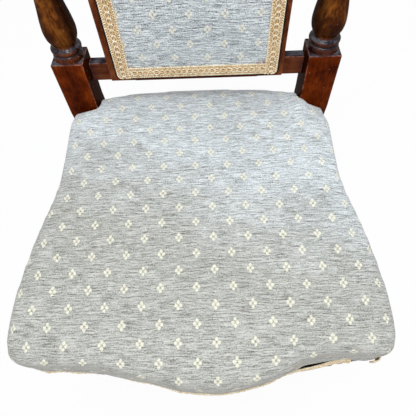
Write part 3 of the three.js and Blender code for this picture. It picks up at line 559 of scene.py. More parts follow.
for side, sign in SIDES:
    node = f"front_leg_{side}"
    block = whole_faces(node)
    kept_above(block, Vector((0, 0, (LEG_BLOCK_BOTTOM + 0.05) * MM)), Vector((0, 0, 1)))
    for height in (LEDGE_Z, LEDGE_Z + LEDGE_STEP):
        sliced(block, (0, 0, height * MM), (0, 0, 1))
    cut_back(block, LEDGE_Z + LEDGE_STEP / 2)
    foot_edges = [
        edge for edge in block.edges
        if all(vert.co.z < (LEG_BLOCK_BOTTOM + 1) * MM for vert in edge.verts)
    ]
    rounded_off(block, foot_edges, FOOT_ARRIS * MM, 3)
    smooth_below(block, radians(24))
    turning = turned(leg_profile, Matrix.Translation(Vector((sign * LEG_X, LEG_Y, 0)) * MM))
    piece(node, gathered(block, turning), [leg_wood, leg_wood], "mahogany", node)


# The back's flat timbers, all leaning with the posts. The panel's frame has two stiles with a rail between
# them at the foot and at the arched head. A rail joins the square blocks behind it, and an arched crest rail
# caps the back.
PANEL_HALF = 127
PANEL_FOOT = -31.4
FRAME_FOOT = -34
PANEL_SHOULDER = 344
PANEL_ARCH = 18
PANEL_FRONT = 5.5
PANEL_BACK = 23.4
MEMBER = 36


def head_line(x, inset=0):
    """The height of the panel's arched head at a place across it, or of a line inside that."""
    return PANEL_SHOULDER - inset + PANEL_ARCH * (1 - (x / (PANEL_HALF - inset)) ** 2)


opening = PANEL_HALF - MEMBER


def in_frame_joint(co):
    return abs(abs(co.x) - opening * MM) < SAME_PLACE


def board(node, outline, start, end, wood):
    timber = ease(sawn(outline, start, end), LIGHT_ARRIS * MM, in_frame_joint)
    piece(node, put(timber, BACK), [wood], "mahogany", node)


arch_steps = [i / 12 for i in range(13)]
for side, sign in SIDES:
    inner_to_outer = [sign * (opening + MEMBER * i / 4) for i in range(5)]
    head = [(x, head_line(x)) for x in inner_to_outer]
    stile = [*head, (sign * PANEL_HALF, FRAME_FOOT), (sign * opening, FRAME_FOOT)]
    board(f"panel_stile_{side}", stile, PANEL_FRONT, PANEL_BACK, stile_wood)
foot_rail = squared(-opening, opening, FRAME_FOOT, PANEL_FOOT + MEMBER)
board("panel_bottom_rail", foot_rail, PANEL_FRONT, PANEL_BACK, rail_wood)
across = [opening * (2 * share - 1) for share in arch_steps]
head_rail = [(x, head_line(x)) for x in across]
head_rail += [(x, head_line(x, MEMBER)) for x in reversed(across)]
board("panel_top_rail", head_rail, PANEL_FRONT, PANEL_BACK, rail_wood)

CROSS_RAIL_HALF = 160.2
CROSS_RAIL_BOTTOM = -46
CROSS_RAIL_TOP = -16
CROSS_RAIL_FRONT = 23.7
CROSS_RAIL_BACK = 39.7
cross_rail = squared(-CROSS_RAIL_HALF, CROSS_RAIL_HALF, CROSS_RAIL_BOTTOM, CROSS_RAIL_TOP)
board("lower_back_rail", cross_rail, CROSS_RAIL_FRONT, CROSS_RAIL_BACK, cross_rail_wood)

CREST_HALF = 206
CREST_BOTTOM = 330.3
CREST_END_TOP = 358.3
CREST_TOP = 389.85
CREST_FRONT = 4
CREST_BACK = 40
CREST_STEPS = 40
CREST_HEAD_SHARE = 0.97
CREST_EAR = 9.3
CREST_EAR_INSET = 2
REBATE = 23.7
PANEL_CLEARANCE = 0.3
crest_foot = [
    (-CREST_HALF + CREST_EAR_INSET, CREST_BOTTOM),
    (CREST_HALF - CREST_EAR_INSET, CREST_BOTTOM),
    (CREST_HALF, CREST_BOTTOM + CREST_EAR),
]
crest_head = []
for i in range(CREST_STEPS + 1):
    x = CREST_HEAD_SHARE * CREST_HALF * (1 - 2 * i / CREST_STEPS)
    crest_head.append((x, CREST_END_TOP + (CREST_TOP - CREST_END_TOP) * cos(pi * x / (2 * CREST_HALF)) ** 2))
crest_head.append((-CREST_HALF, CREST_BOTTOM + CREST_EAR))
over_panel = [(PANEL_HALF + PANEL_CLEARANCE) * (2 * share - 1) for share in arch_steps]
notch = [(over_panel[0], CREST_BOTTOM)]
notch += [(x, head_line(x, -PANEL_CLEARANCE)) for x in over_panel]
notch += [(over_panel[-1], CREST_BOTTOM)]


def at_rebate(co):
    return abs(co.y - REBATE * MM) < SAME_PLACE


front_outline = [crest_foot[0], *notch, *crest_foot[1:], *crest_head]
front_half = ease(sawn(front_outline, CREST_FRONT, REBATE), HEAVY_ARRIS * MM, at_rebate)
rear_half = ease(sawn([*crest_foot, *crest_head], REBATE, CREST_BACK), HEAVY_ARRIS * MM, at_rebate)
crest_rail = put(gathered(front_half, rear_half), BACK)
for face in crest_rail.faces:
    face.material_index = 0
piece("crest_rail", crest_rail, [rail_wood], "mahogany", "crest_rail")


# The seat cover: ribbed chenille pulled over the stuffing and tacked to the rails. It is crowned, rolls over
# the edge, comes down straight to the gimp, and is cut round the two posts.
SPRIG_COLUMN = 23
SPRIG_ROW = 22.24
PETAL_SIDEWAYS = 3.0
PETAL_ENDWAYS = 4.0
PETAL_WIDTH = 2.0
PETAL_LENGTH = 2.4


def chenille(name, grey, light, dark, sprig, front_tint=None):
    """Chenille with woven sprigs. The piece's UV map named cloth holds places on the cloth, in metres.

    Where a tint is given, the colours are multiplied by it towards the front and the left, so that they are
    darker and warmer there."""
    finish = Finish(name, Specular_IOR_Level=0.15, Sheen_Weight=0.25, Sheen_Roughness=0.5)
    cloth = finish.node("ShaderNodeUVMap", {"uv_map": "cloth"})
    sway = finish.grained(finish.mapped(cloth, scale=(24, 60, 1), shift=(7, 1, 0)), 1.0, 2.0)
    wavy = finish.node(
        "ShaderNodeVectorMath", {"operation": "ADD"},
        {0: cloth, 1: finish.node("ShaderNodeCombineXYZ", None, {"Y": (sway - 0.5) * 6 * MM})})
    slub = finish.grained(finish.mapped(wavy, scale=(42, 620, 1)), 1.0, 3.0, 0.62)
    fine = finish.grained(finish.mapped(wavy, scale=(150, 900, 1), shift=(3, 5, 0)), 1.0, 2.0, 0.6)
    fleck = finish.grained(finish.mapped(cloth, scale=(620, 620, 1)), 1.0, 1.0)
    shade = finish.grained(finish.mapped(cloth, scale=(9, 22, 1), shift=(1, 2, 0)), 1.0, 3.0, 0.55)
    tone = slub * 0.43 + fine * 0.25 + fleck * 0.26 + shade * 0.06
    body = finish.ramp(tone, (0.4, paint(*dark)), (0.5, paint(*grey)), (0.58, paint(*light)))
    thread = finish.grained(finish.mapped(wavy, scale=(40, 430, 1), shift=(2, 9, 0)), 1.0, 2.0, 0.5)
    body = finish.mixed(thread.step(0.58, 0.7) * 0.34, body, paint(*dark))

    drift = finish.node("ShaderNodeTexNoise", None, {"Vector": cloth, "Scale": 260.0, "Detail": 1.0}, out=1)
    centred = finish.node("ShaderNodeVectorMath", {"operation": "SUBTRACT"}, {0: drift, 1: (0.5, 0.5, 0.5)})
    pulled = finish.node(
        "ShaderNodeVectorMath", {"operation": "MULTIPLY_ADD"},
        {0: centred, 1: (2.2 * MM, 2.2 * MM, 0), 2: cloth})
    across = finish.component(pulled, "X") / MM
    along = finish.component(pulled, "Y") / MM
    motif = None
    for shift_x, shift_y in ((0, 0), (SPRIG_COLUMN, SPRIG_ROW)):
        x = (across + shift_x).folded(SPRIG_COLUMN)
        y = (along + shift_y).folded(SPRIG_ROW)
        for petal_x, petal_y in ((PETAL_SIDEWAYS, 0), (0, PETAL_ENDWAYS)):
            reach = ((x - petal_x) / PETAL_WIDTH) ** 2.0 + ((y - petal_y) / PETAL_LENGTH) ** 2.0
            motif = reach if motif is None else motif.least(reach)
    # Darker and warmer towards the front and the left.
    if front_tint:
        x = finish.component(cloth, "X")
        y = finish.component(cloth, "Y")
        toward_front_left = (y + x * 0.32 + (shade - 0.5) * 0.16).step(0.19, -0.01)
        multiplied = {"data_type": "RGBA", "blend_type": "MULTIPLY"}
        body = finish.node("ShaderNodeMix", multiplied, {0: toward_front_left, 6: body, 7: front_tint}, out=2)
    woven = motif.step(1.7, 0.4)
    # Painted shadow: a darker ring round each woven sprig.
    ring = motif.step(3.0, 1.2) * (1 - woven)
    body = finish.mixed(ring * 0.16, body, paint(*dark))
    body = finish.mixed(woven * (0.15 + fine * 0.6 + fleck * 0.6), body, paint(*sprig))
    finish.colour(body)
    finish.roughness(0.85)
    finish.relief(slub * 0.5 + fine * 0.5 + fleck * 0.3 + woven * 0.45, 0.9 * MM)
    return finish.material


def settle(made):
    """Makes a piece's modifiers part of its mesh, as they stand at the current frame."""
    graph = bpy.context.evaluated_depsgraph_get()
    mesh = bpy.data.meshes.new_from_object(made.evaluated_get(graph))
    made.modifiers.clear()
    made.data = mesh


def evened(made, voxel):
    remesh = made.modifiers.new("even", 'REMESH')
    remesh.mode = 'VOXEL'
    remesh.voxel_size = voxel
    settle(made)


def stuffed(made, pressure, cap, frames=20):
    """Blows a tacked cover out like stuffing does. Group tacked holds it, and no point moves past the cap."""
    start = [vert.co.copy() for vert in made.data.vertices]
    cloth = made.modifiers.new("stuffing", 'CLOTH')
    cloth.settings.use_pressure = True
    cloth.settings.uniform_pressure_force = pressure
    cloth.settings.effector_weights.gravity = 0
    cloth.settings.vertex_group_mass = "tacked"
    cloth.point_cache.frame_start = 1
    cloth.point_cache.frame_end = frames
    for step in range(1, frames + 1):
        bpy.context.scene.frame_set(step)
    settle(made)
    for vert, was in zip(made.data.vertices, start):
        moved = vert.co - was
        if moved.length > cap:
            vert.co = was + moved * (cap / moved.length)
    bpy.context.scene.frame_set(1)


def softened(made, verts_wanted, rounds):
    """Relaxes the chosen points of a cover towards their neighbours."""
    bm = bmesh.new()
    bm.from_mesh(made.data)
    chosen = [vert for vert in bm.verts if verts_wanted(vert.co)]
    for _ in range(rounds):
        bmesh.ops.smooth_vert(bm, verts=chosen, factor=0.5, use_axis_x=True, use_axis_y=True, use_axis_z=True)
    for face in bm.faces:
        face.smooth = True
    bm.to_mesh(made.data)
    bm.free()


def thickened(made, thickness):
    """Gives a cover its thickness, inwards from its outer face."""
    wall = made.modifiers.new("thickness", 'SOLIDIFY')
    wall.thickness = thickness
    wall.offset = -1
    settle(made)


def lay_cloth(made, place_on_cloth):
    """Writes each point's place on the cloth to the UV map that the weave follows."""
    layer = made.data.uv_layers.new(name="cloth")
    for loop in made.data.loops:
        vert = made.data.vertices[loop.vertex_index]
        layer.data[loop.index].uv = place_on_cloth(vert.co, vert.normal)


SEAT_FRONT_TINT = (0.75, 0.7, 0.63, 1)
seat_chenille = chenille(
    "seat_chenille", (198, 205, 208), (236, 242, 246), (124, 125, 122), (242, 238, 216), front_tint=SEAT_FRONT_TINT)

SEAT_TOP = 440
SEAT_HALF_WIDTH = 242.7
SEAT_FRONT_Y = -258.47
SEAT_DEPTH = 453.5
COVER_BOTTOM = 366.3
GIMP_TOP = 384.8
FULLEST_Z = 424
ROLL_TOP = 437
ROLL = 20
CROWN = 5
ROLL_STEPS = 6
OUTLINE_STEPS = 6
SEAT_CLOTH_THICKNESS = 1.2
OUTLINE_SHARES = [
    (0, 0), (0.25, 0.0165), (0.5, 0.054), (0.68, 0.068), (0.845, 0.075), (0.962, 0.1), (1, 0.178),
    (0.98, 0.32), (0.925, 0.474), (0.869, 0.591), (0.853, 0.728), (0.845, 0.869), (0.783, 0.941),
    (0.639, 0.972), (0.371, 0.996), (0, 1),
]


def round_through(p, q, r, s, steps):
    """Even steps from q to r on a smooth closed line through four points."""
    a, b, c = ((there - here).length ** 0.5 for here, there in ((p, q), (q, r), (r, s)))
    leave = ((q - p) / a - (r - p) / (a + b) + (r - q) / b) * b
    reach = ((r - q) / b - (s - q) / (b + c) + (s - r) / c) * b
    for i in range(steps):
        t = i / steps
        yield (q * (2 * t ** 3 - 3 * t ** 2 + 1) + leave * (t ** 3 - 2 * t ** 2 + t)
               + r * (3 * t ** 2 - 2 * t ** 3) + reach * (t ** 3 - t ** 2))


right_half = [
    Vector((SEAT_HALF_WIDTH * x, SEAT_FRONT_Y + SEAT_DEPTH * y, FULLEST_Z)) for x, y in OUTLINE_SHARES
]
left_half = [Vector((-p.x, p.y, p.z)) for p in reversed(right_half[1:-1])]
knots = right_half + left_half
outline = []
for i in range(len(knots)):
    p, q, r, t = (knots[(i + k) % len(knots)] for k in (-1, 0, 1, 2))
    outline += [point * MM for point in round_through(p, q, r, t, OUTLINE_STEPS)]

body = bmesh.new()
lid = body.faces.new([body.verts.new(point) for point in outline])
lid.normal_update()
if lid.normal.z < 0:
    lid.normal_flip()
skirt = body.edges[:]
angles = [pi / 2 * i / ROLL_STEPS for i in range(ROLL_STEPS + 1)]
for low, high in zip(angles, angles[1:]):
    bmesh.ops.inset_region(
        body, faces=[lid], thickness=ROLL * (cos(low) - cos(high)) * MM,
        depth=(ROLL_TOP - FULLEST_Z) * (sin(high) - sin(low)) * MM, use_even_offset=True)
centre_y = (SEAT_FRONT_Y + SEAT_DEPTH / 2) * MM
for height in (GIMP_TOP, COVER_BOTTOM):
    grown = bmesh.ops.extrude_edge_only(body, edges=skirt)
    skirt = [item for item in grown["geom"] if isinstance(item, bmesh.types.BMEdge)]
    for vert in {vert for edge in skirt for vert in edge.verts}:
        vert.co.z = height * MM
closed(body)
bmesh.ops.triangulate(body, faces=body.faces)
bmesh.ops.recalc_face_normals(body, faces=body.faces)

cover = piece("seat_cover", body, [seat_chenille], "chenille", "seat_cover", "seat_stuffing")
NOTCH_GAP = 0.4
POST_RISES = {-1: (9, 163, 22), 1: (18, 159, 16)}
POST_FALLS = {-1: 0, 1: 8}
POST_CORNER_Y = 146
POST_CORNER_REACH = 24
LOBE_HEIGHT = 1.6
LOBE_WIDTH = 15
LOBES_FROM = 160
LOBES_FADE = 10
FALL_REACH = (184, 202)


def bunched(x, y):
    """How far the cloth rides up against a post's inner corner and falls before its outer one."""
    side = 1 if x > 0 else -1
    x = abs(x)
    near = exp(-((y - POST_CORNER_Y) / POST_CORNER_REACH) ** 2)
    height, middle, reach = POST_RISES[side]
    rise = height * exp(-((x - middle) / reach) ** 2)
    wave = LOBE_HEIGHT * sin(2 * pi * (x - LOBES_FROM) / LOBE_WIDTH)
    lobes = wave * (side > 0) * smooth_step(x, LOBES_FROM - LOBES_FADE, LOBES_FROM)
    fall = POST_FALLS[side] * smooth_step(x, *FALL_REACH)
    return (rise + lobes - fall) * near


WELL_BELOW = 300
WELL_BEHIND = 320
WELL_ASIDE = 300
notch_view = [
    (POST_FRONT_Y - NOTCH_GAP, WELL_BELOW), (POST_FRONT_Y - NOTCH_GAP, BEND_Z),
    (BACK_Y - NOTCH_GAP, BLOCK_TOP), (WELL_BEHIND, BLOCK_TOP), (WELL_BEHIND, WELL_BELOW),
]
for sign in (-1, 1):
    near = POST_X - half_post - NOTCH_GAP
    cutter_mesh = bpy.data.meshes.new("notch")
    notch = put(sawn(notch_view, *sorted((sign * near, sign * WELL_ASIDE))), SIDE_VIEW)
    bmesh.ops.recalc_face_normals(notch, faces=notch.faces)
    notch.to_mesh(cutter_mesh)
    notch.free()
    cutter = bpy.data.objects.new("notch", cutter_mesh)
    bpy.context.scene.collection.objects.link(cutter)
    cut = cover.modifiers.new("notch", 'BOOLEAN')
    cut.object = cutter
    cut.operation = 'DIFFERENCE'
    settle(cover)
    bpy.data.objects.remove(cutter)
    bpy.data.meshes.remove(cutter_mesh)

COVER_VOXEL = 5
RAIL_END_X = 188
RAIL_END_Y = 130
RELAX_MARGIN = 3
RELAX_ROUNDS = 8
STUFFING_PRESSURE = 4.0
STUFFING_CAP = 2.5
evened(cover, COVER_VOXEL * MM)
for vert in cover.data.vertices:
    x = vert.co.x / (SEAT_HALF_WIDTH * MM)
    y = (vert.co.y - centre_y) / (SEAT_DEPTH / 2 * MM)
    lift = max(0, 1 - x * x) * max(0, 1 - y * y) * CROWN * MM
    vert.co.z += lift * min(1, max(0, (vert.co.z - FULLEST_Z * MM) / ((ROLL_TOP - FULLEST_Z) * MM)))
    vert.co.y -= drifted(vert.co.x / MM, vert.co.y / MM) * MM


def free_to_relax(co):
    at_side = abs(co.x) > RAIL_END_X * MM and co.z < (FULLEST_Z + RELAX_MARGIN) * MM
    at_rail_end = at_side and co.y > RAIL_END_Y * MM
    return co.z > (GIMP_TOP + RELAX_MARGIN) * MM and not at_rail_end


softened(cover, free_to_relax, RELAX_ROUNDS)

tacked = cover.vertex_groups.new(name="tacked")
held = [vert.index for vert in cover.data.vertices if vert.co.z < GIMP_TOP * MM]
tacked.add(held, 1.0, 'REPLACE')
stuffed(cover, STUFFING_PRESSURE, STUFFING_CAP * MM)

POST_CLEARANCE = 0.2
BUNCHED_FROM = 400


def cleared(co):
    """Presses a point of the cover back out of the posts' faces."""
    lean = max(0, co.z - BEND_Z * MM) * sin(RAKE)
    depth = co.y - (POST_FRONT_Y - POST_CLEARANCE) * MM - lean
    beside = abs(co.x) - (POST_X - half_post - POST_CLEARANCE) * MM
    if depth > 0 and beside > 0:
        if depth < beside:
            co.y -= depth
        else:
            co.x -= beside if co.x > 0 else -beside


for vert in cover.data.vertices:
    lump = noise.noise(vert.co * 17) * 0.9 + noise.noise(vert.co * 46) * 0.35
    if vert.co.z > ROLL_TOP * MM:
        vert.co.z += lump * MM
    height = smooth_step(vert.co.z / MM, BUNCHED_FROM, FULLEST_Z)
    vert.co.z += bunched(vert.co.x / MM, vert.co.y / MM) * height * MM
    cleared(vert.co)

underside = bmesh.new()
underside.from_mesh(cover.data)
floor_faces = [face for face in underside.faces if all(v.co.z < (COVER_BOTTOM + 2) * MM for v in face.verts)]
bmesh.ops.delete(underside, geom=floor_faces, context='FACES')
underside.to_mesh(cover.data)
underside.free()
finer = cover.modifiers.new("finer", 'SUBSURF')
finer.levels = 1
finer.render_levels = 1
settle(cover)

SEAT_ORIGIN = Vector((-2.4, -92.0)) * MM
SEAT_CLOTH_TURN = Matrix.Rotation(-radians(0.61), 2)


def seat_cloth(co, normal):
    flat = Vector((co.x, co.y)) + Vector((normal.x, normal.y)) * max(0, SEAT_TOP * MM - co.z)
    return SEAT_CLOTH_TURN @ (flat - SEAT_ORIGIN)


lay_cloth(cover, seat_cloth)
thickened(cover, SEAT_CLOTH_THICKNESS * MM)


# The panel's cover: the same chenille, pulled flat over thin stuffing inside the frame, with a slight crown.
# The outside of the back has a flat piece of it.
PANEL_ORIGIN_X = -3.4 * MM
PANEL_CLOTH_TURN = Matrix.Rotation(radians(1.17), 2)
PANEL_ROW = 21.3
PANEL_ROW_STRETCH = PANEL_ROW / SPRIG_ROW
panel_chenille = chenille("panel_chenille", (200, 208, 213), (252, 255, 255), (84, 86, 88), (250, 245, 226))
back_rearward = BACK.to_3x3() @ Vector((0, 1, 0))
PANEL_SPRIG_PLACE = Vector((0, 180.0, 580.4)) * MM
panel_sprig = BACK.inverted() @ PANEL_SPRIG_PLACE


def panel_cloth(co, normal):
    flat = BACK.inverted() @ co
    place = PANEL_CLOTH_TURN @ Vector((flat.x - PANEL_ORIGIN_X, flat.z - panel_sprig.z))
    return Vector((place.x, place.y / PANEL_ROW_STRETCH))


PANEL_MARGIN = 9
COVER_INSET = PANEL_MARGIN + 3
PANEL_COVER_Y = 4.4
PANEL_CROWN = 4
PANEL_CLOTH_THICKNESS = 0.8
PANEL_COLUMNS = 72
PANEL_ROWS = 108
cover_half = PANEL_HALF - COVER_INSET
cover_foot = PANEL_FOOT + COVER_INSET
panel_body = bmesh.new()
bmesh.ops.create_grid(panel_body, x_segments=PANEL_COLUMNS, y_segments=PANEL_ROWS, size=1)
for vert in panel_body.verts:
    x, up = vert.co.x, (vert.co.y + 1) / 2
    top = PANEL_SHOULDER - COVER_INSET + PANEL_ARCH * (1 - x * x)
    z = cover_foot + (top - cover_foot) * up
    fullness = (max(0, 1 - (x / 0.88) ** 2) * max(0, 1 - ((2 * up - 1) / 0.92) ** 2)) ** 0.6
    lump = noise.noise(Vector((x * 2.2, up * 3.4, 5))) * 0.5 + noise.noise(Vector((x * 7, up * 11, 9))) * 0.2
    y = PANEL_COVER_Y - (PANEL_CROWN + lump) * fullness
    vert.co = BACK @ (Vector((cover_half * x, y, z)) * MM)
bmesh.ops.recalc_face_normals(panel_body, faces=panel_body.faces)
if panel_body.faces[0].normal.y > 0:
    bmesh.ops.reverse_faces(panel_body, faces=panel_body.faces)
for face in panel_body.faces:
    face.smooth = True
panel = piece("panel_cover", panel_body, [panel_chenille], "chenille", "panel_cover", "panel_stuffing")
lay_cloth(panel, panel_cloth)
thickened(panel, PANEL_CLOTH_THICKNESS * MM)

outside = piece("outside_back_cover", whole_faces("outside_back_cover"), [panel_chenille], "chenille",
                "outside_back_cover")
lay_cloth(outside, panel_cloth)


# Gimp: a scroll braid of gold and cream cords on a narrow tape, glued over the cut edges of the cloth. Two
# cream cords loop round a gold one as a chain of rings. On each side lie a wavy gold cord and a cream cord
# that scallops along the edge. Beside some runs a dark cord is painted shadow, the shade of the frame's
# rebate.
GIMP_WIDTH = 16.5
RING_PITCH = 8.1
SCALLOP_PITCH = 3.4
CORD_STEP = 0.6
CORD_RADIUS = 0.85
TAPE_LIFT = 0.5
TAPE_STEP = 2.4
TAPE_INSET = 1.5


def yarn(name, dark, middle, light):
    """Twisted yarn, with its ply and some age in it."""
    finish = Finish(name, Specular_IOR_Level=0.2, Sheen_Weight=0.2)
    place = finish.place()
    ply = finish.grained(place, 760.0, 2.0, 0.6)
    stain = finish.grained(place, 60.0, 2.0)
    clump = finish.grained(place, 330.0, 1.0)
    tone = ply * 0.5 + clump * 0.35 + stain * 0.15
    finish.colour(finish.ramp(tone, (0.36, paint(*dark)), (0.5, paint(*middle)), (0.62, paint(*light))))
    finish.roughness(0.8)
    finish.relief(ply, 0.4 * MM)
    return finish.material


gold_yarn = yarn("gold_yarn", (182, 138, 90), (226, 194, 146), (250, 228, 190))
cream_yarn = yarn("cream_yarn", (196, 166, 120), (240, 224, 192), (255, 250, 234))
tape_yarn = yarn("tape_yarn", (160, 120, 74), (204, 168, 118), (236, 206, 158))
# A near-black finish for painted shadow: the cord beside the panel braid's outer edge and the strip in the
# gap behind the loose seat gimp.
painted_shadow = Finish("painted_shadow", Specular_IOR_Level=0.1)
painted_shadow.colour(painted_shadow.ramp(
    painted_shadow.grained(painted_shadow.place(), 300.0, 3.0), (0.4, paint(12, 8, 10)), (0.62, paint(52, 34, 30))))
painted_shadow.roughness(0.9)
BRAID_FINISHES = [tape_yarn, cream_yarn, gold_yarn, painted_shadow.material]
TAPE, CREAM, GOLD, SHADOW, THREAD = range(5)


def stations(points):
    """Even steps along a line of points, each with its place and the way that the line runs."""
    found = []
    carry = 0
    for start, end in zip(points, points[1:]):
        length = (end - start).length
        ahead = (end - start).normalized()
        reach = carry
        while reach < length:
            found.append((start + ahead * reach, ahead))
            reach += CORD_STEP * MM
        carry = reach - length
    return found


def cord(bm, points, radius, finish):
    """Adds one cord along a line of points."""
    curve = bpy.data.curves.new("cord", 'CURVE')
    curve.dimensions = '3D'
    curve.bevel_depth = radius * MM
    curve.bevel_resolution = 1
    curve.use_fill_caps = True
    spline = curve.splines.new('POLY')
    spline.points.add(len(points) - 1)
    for point, place in zip(spline.points, points):
        point.co = (*place, 1)
    holder = bpy.data.objects.new("cord", curve)
    mesh = bpy.data.meshes.new_from_object(holder)
    before = len(bm.faces)
    bm.from_mesh(mesh)
    bm.faces.ensure_lookup_table()
    for face in bm.faces[before:]:
        face.material_index = finish
        face.smooth = True
    bpy.data.meshes.remove(mesh)
    bpy.data.objects.remove(holder)
    bpy.data.curves.remove(curve)


def tape(bm, rail_pairs, finish=TAPE):
    """Adds the flat tape under the cords, from pairs of points at its two edges."""
    first = [bm.verts.new(left) for left, right in rail_pairs]
    second = [bm.verts.new(right) for left, right in rail_pairs]
    edges = [bm.edges.new(pair) for line in (first, second) for pair in zip(line, line[1:])]
    made = bmesh.ops.bridge_loops(bm, edges=edges)
    thick = bmesh.ops.solidify(bm, geom=made["faces"], thickness=0.3 * MM)
    for face in {*made["faces"], *(item for item in thick["geom"] if isinstance(item, bmesh.types.BMFace))}:
        face.material_index = finish


def braided(bm, points, lift_of, half=GIMP_WIDTH / 2, outer=0, rounding=0):
    """Adds a run of braid along a line. lift_of gives the way off the cloth at a place of the line.

    Outer is the side, if any, on which a dark cord is painted shadow. Its near end is rounded there."""
    line = [(place, lift_of(place, ahead), ahead) for place, ahead in stations(points)]
    length = (len(line) - 1) * CORD_STEP

    def at(along, aside, lift):
        """A place on the braid, in millimetres along it, aside of its middle and above the cloth."""
        if rounding and aside * outer > 0 and along < rounding:
            nearness = 1 - max(0, along) / rounding
            aside *= 1 - rounding / half * (1 - (1 - nearness ** 2) ** 0.5)
        share = min(max(along / CORD_STEP, 0), len(line) - 1.001)
        i = int(share)
        place, up, ahead = line[i]
        along_step = (line[i + 1][0] - place) * (share - i)
        return place + along_step + ahead.cross(up) * aside * MM + up * lift * MM

    def looped(finish, middle, wide, far, pitch, turns, lift, rise, radius=CORD_RADIUS):
        """A cord that swings wide and far round a middle line once in each pitch, in straight turns."""
        ends = []
        for i in range(int(length / pitch * turns) + 1):
            angle = 2 * pi * i / turns
            along = pitch * i / turns + far * sin(angle)
            ends.append(at(along, middle + wide * cos(angle), lift + rise * sin(angle)))
        cord(bm, ends, radius, finish)

    edge = half - TAPE_INSET
    count = int(length / TAPE_STEP)
    stops = [length * i / max(1, count) for i in range(count + 1)]
    tape(bm, [(at(stop, -edge, TAPE_LIFT), at(stop, edge, TAPE_LIFT)) for stop in stops])
    looped(GOLD, middle=0, wide=0.9, far=0, pitch=RING_PITCH, turns=8, lift=1.3, rise=0, radius=0.9)
    for sign in (-1, 1):
        looped(CREAM, middle=sign * 0.7, wide=sign * 2.9, far=2.6, pitch=RING_PITCH, turns=18,
               lift=1.7, rise=0.5)
        looped(GOLD, middle=sign * half * 0.56, wide=0.7, far=0, pitch=RING_PITCH / 2, turns=6,
               lift=1.1, rise=0.2)
        looped(CREAM, middle=sign * (edge - 0.1), wide=sign * 0.9, far=0.8, pitch=SCALLOP_PITCH, turns=7,
               lift=1.2, rise=0.4)
        # On the outer side a dark cord is painted shadow, where the rebate shades the braid's edge.
        if sign == outer:
            looped(SHADOW, middle=sign * (half + 0.7), wide=0.6, far=0, pitch=SCALLOP_PITCH, turns=4,
                   lift=0.2, rise=0, radius=1.2)


GIMP_FACE_Y = 4.2
FOOT_MARGIN = 3.6
HEAD_MARGIN = 9
SIDE_RUNS = {-1: (11.0, 9.7), 1: (8.2, 9.1)}
CORNER_ROUNDING = 7
PANEL_RUN_SPARE = 0.4
HEAD_STEPS = 30
THREAD_RADIUS = 0.65
back_forward = -back_rearward


def on_panel(x, z):
    return BACK @ (Vector((x, GIMP_FACE_Y, z)) * MM)


def panel_run(bm, line, half, outer, rounding=0):
    braided(bm, line, lambda place, ahead: back_forward, half, outer, rounding)


panel_braid = bmesh.new()
half = GIMP_WIDTH / 2 + PANEL_RUN_SPARE
run_ends = {}
for sign, (margin, side_half) in SIDE_RUNS.items():
    x = sign * (PANEL_HALF - margin - side_half)
    run_ends[sign] = x - sign * (side_half - 1)
    top = head_line(x) - HEAD_MARGIN
    panel_run(panel_braid, [on_panel(x, PANEL_FOOT + FOOT_MARGIN - 0.6), on_panel(x, top)], side_half, sign,
              CORNER_ROUNDING)
foot_z = PANEL_FOOT + FOOT_MARGIN + half
panel_run(panel_braid, [on_panel(run_ends[-1], foot_z), on_panel(run_ends[1], foot_z)], half, 1)
over_arch = [run_ends[-1] + (run_ends[1] - run_ends[-1]) * i / HEAD_STEPS for i in range(HEAD_STEPS + 1)]
head_run = [on_panel(x, head_line(x) - HEAD_MARGIN - half) for x in over_arch]
panel_run(panel_braid, head_run, half, -1)

frayed = Random(7)
for x in (run_ends[-1] + 7, run_ends[1] - 6):
    for _ in range(7):
        start = on_panel(x + frayed.uniform(-5, 5), foot_z + half + frayed.uniform(-1, 4))
        bend = Vector((frayed.uniform(-3, 3), -1, frayed.uniform(-2, 2))) * MM
        end = start + Vector((frayed.uniform(-3, 3), -0.5, frayed.uniform(-2, 2))) * MM
        cord(panel_braid, [start, (start + end) / 2 + bend * 0.5, end], THREAD_RADIUS, THREAD)
thread_pink = yarn("tacking_thread", (120, 70, 62), (176, 128, 116), (222, 190, 176))
piece("panel_gimp", panel_braid, [*BRAID_FINISHES, thread_pink], "gimp_braid", "panel_gimp")

outside_braid = bmesh.new()
outside_box = bmesh.new()
outside_box.from_mesh(frame["nodes"]["outside_back_gimp"].data)
corners = [BACK.inverted() @ vert.co for vert in outside_box.verts]
outside_box.free()
half_gimp = GIMP_WIDTH / 2 * MM
left_line = min(c.x for c in corners) + half_gimp
right_line = max(c.x for c in corners) - half_gimp
low_line = min(c.z for c in corners) + half_gimp
high_line = max(c.z for c in corners) - half_gimp
face_y = min(c.y for c in corners) - 0.2 * MM


def outside_run(*ends):
    line = [BACK @ Vector((x, face_y, z)) for x, z in ends]
    braided(outside_braid, line, lambda place, ahead: back_rearward)


for x in (left_line, right_line):
    outside_run((x, low_line - half_gimp), (x, high_line + half_gimp))
for z in (low_line, high_line):
    outside_run((left_line + half_gimp, z), (right_line - half_gimp, z))
piece("outside_back_gimp", outside_braid, BRAID_FINISHES, "gimp_braid", "outside_back_gimp")


# The seat's gimp runs from post to post round the front along the cover's lower edge. At the right of the
# front its glue has let go, so that it stands away from the rail there. A short run closes the rear.
LOOSE_FROM = 88
LOOSE_BY = 118
LEANING_BY = 172
TORN_FROM = 196
TORN_TO = 220
TORN_BEFORE_Y = -190
HELD_AGAIN_SHARE = 0.75
HELD_AGAIN_X = (142, 188)
CORNER_X = (196, 225)
CORNER_Y = (130, 180)
HIDDEN_X = (110, 145)
HIDDEN_Y = (185, 215)
HEM_STEP = 4
LOOSE_LEAN = radians(12)
CORNER_STAND = 2.4
HELD_BACK = 2.6
HIDDEN_BACK = 1.5


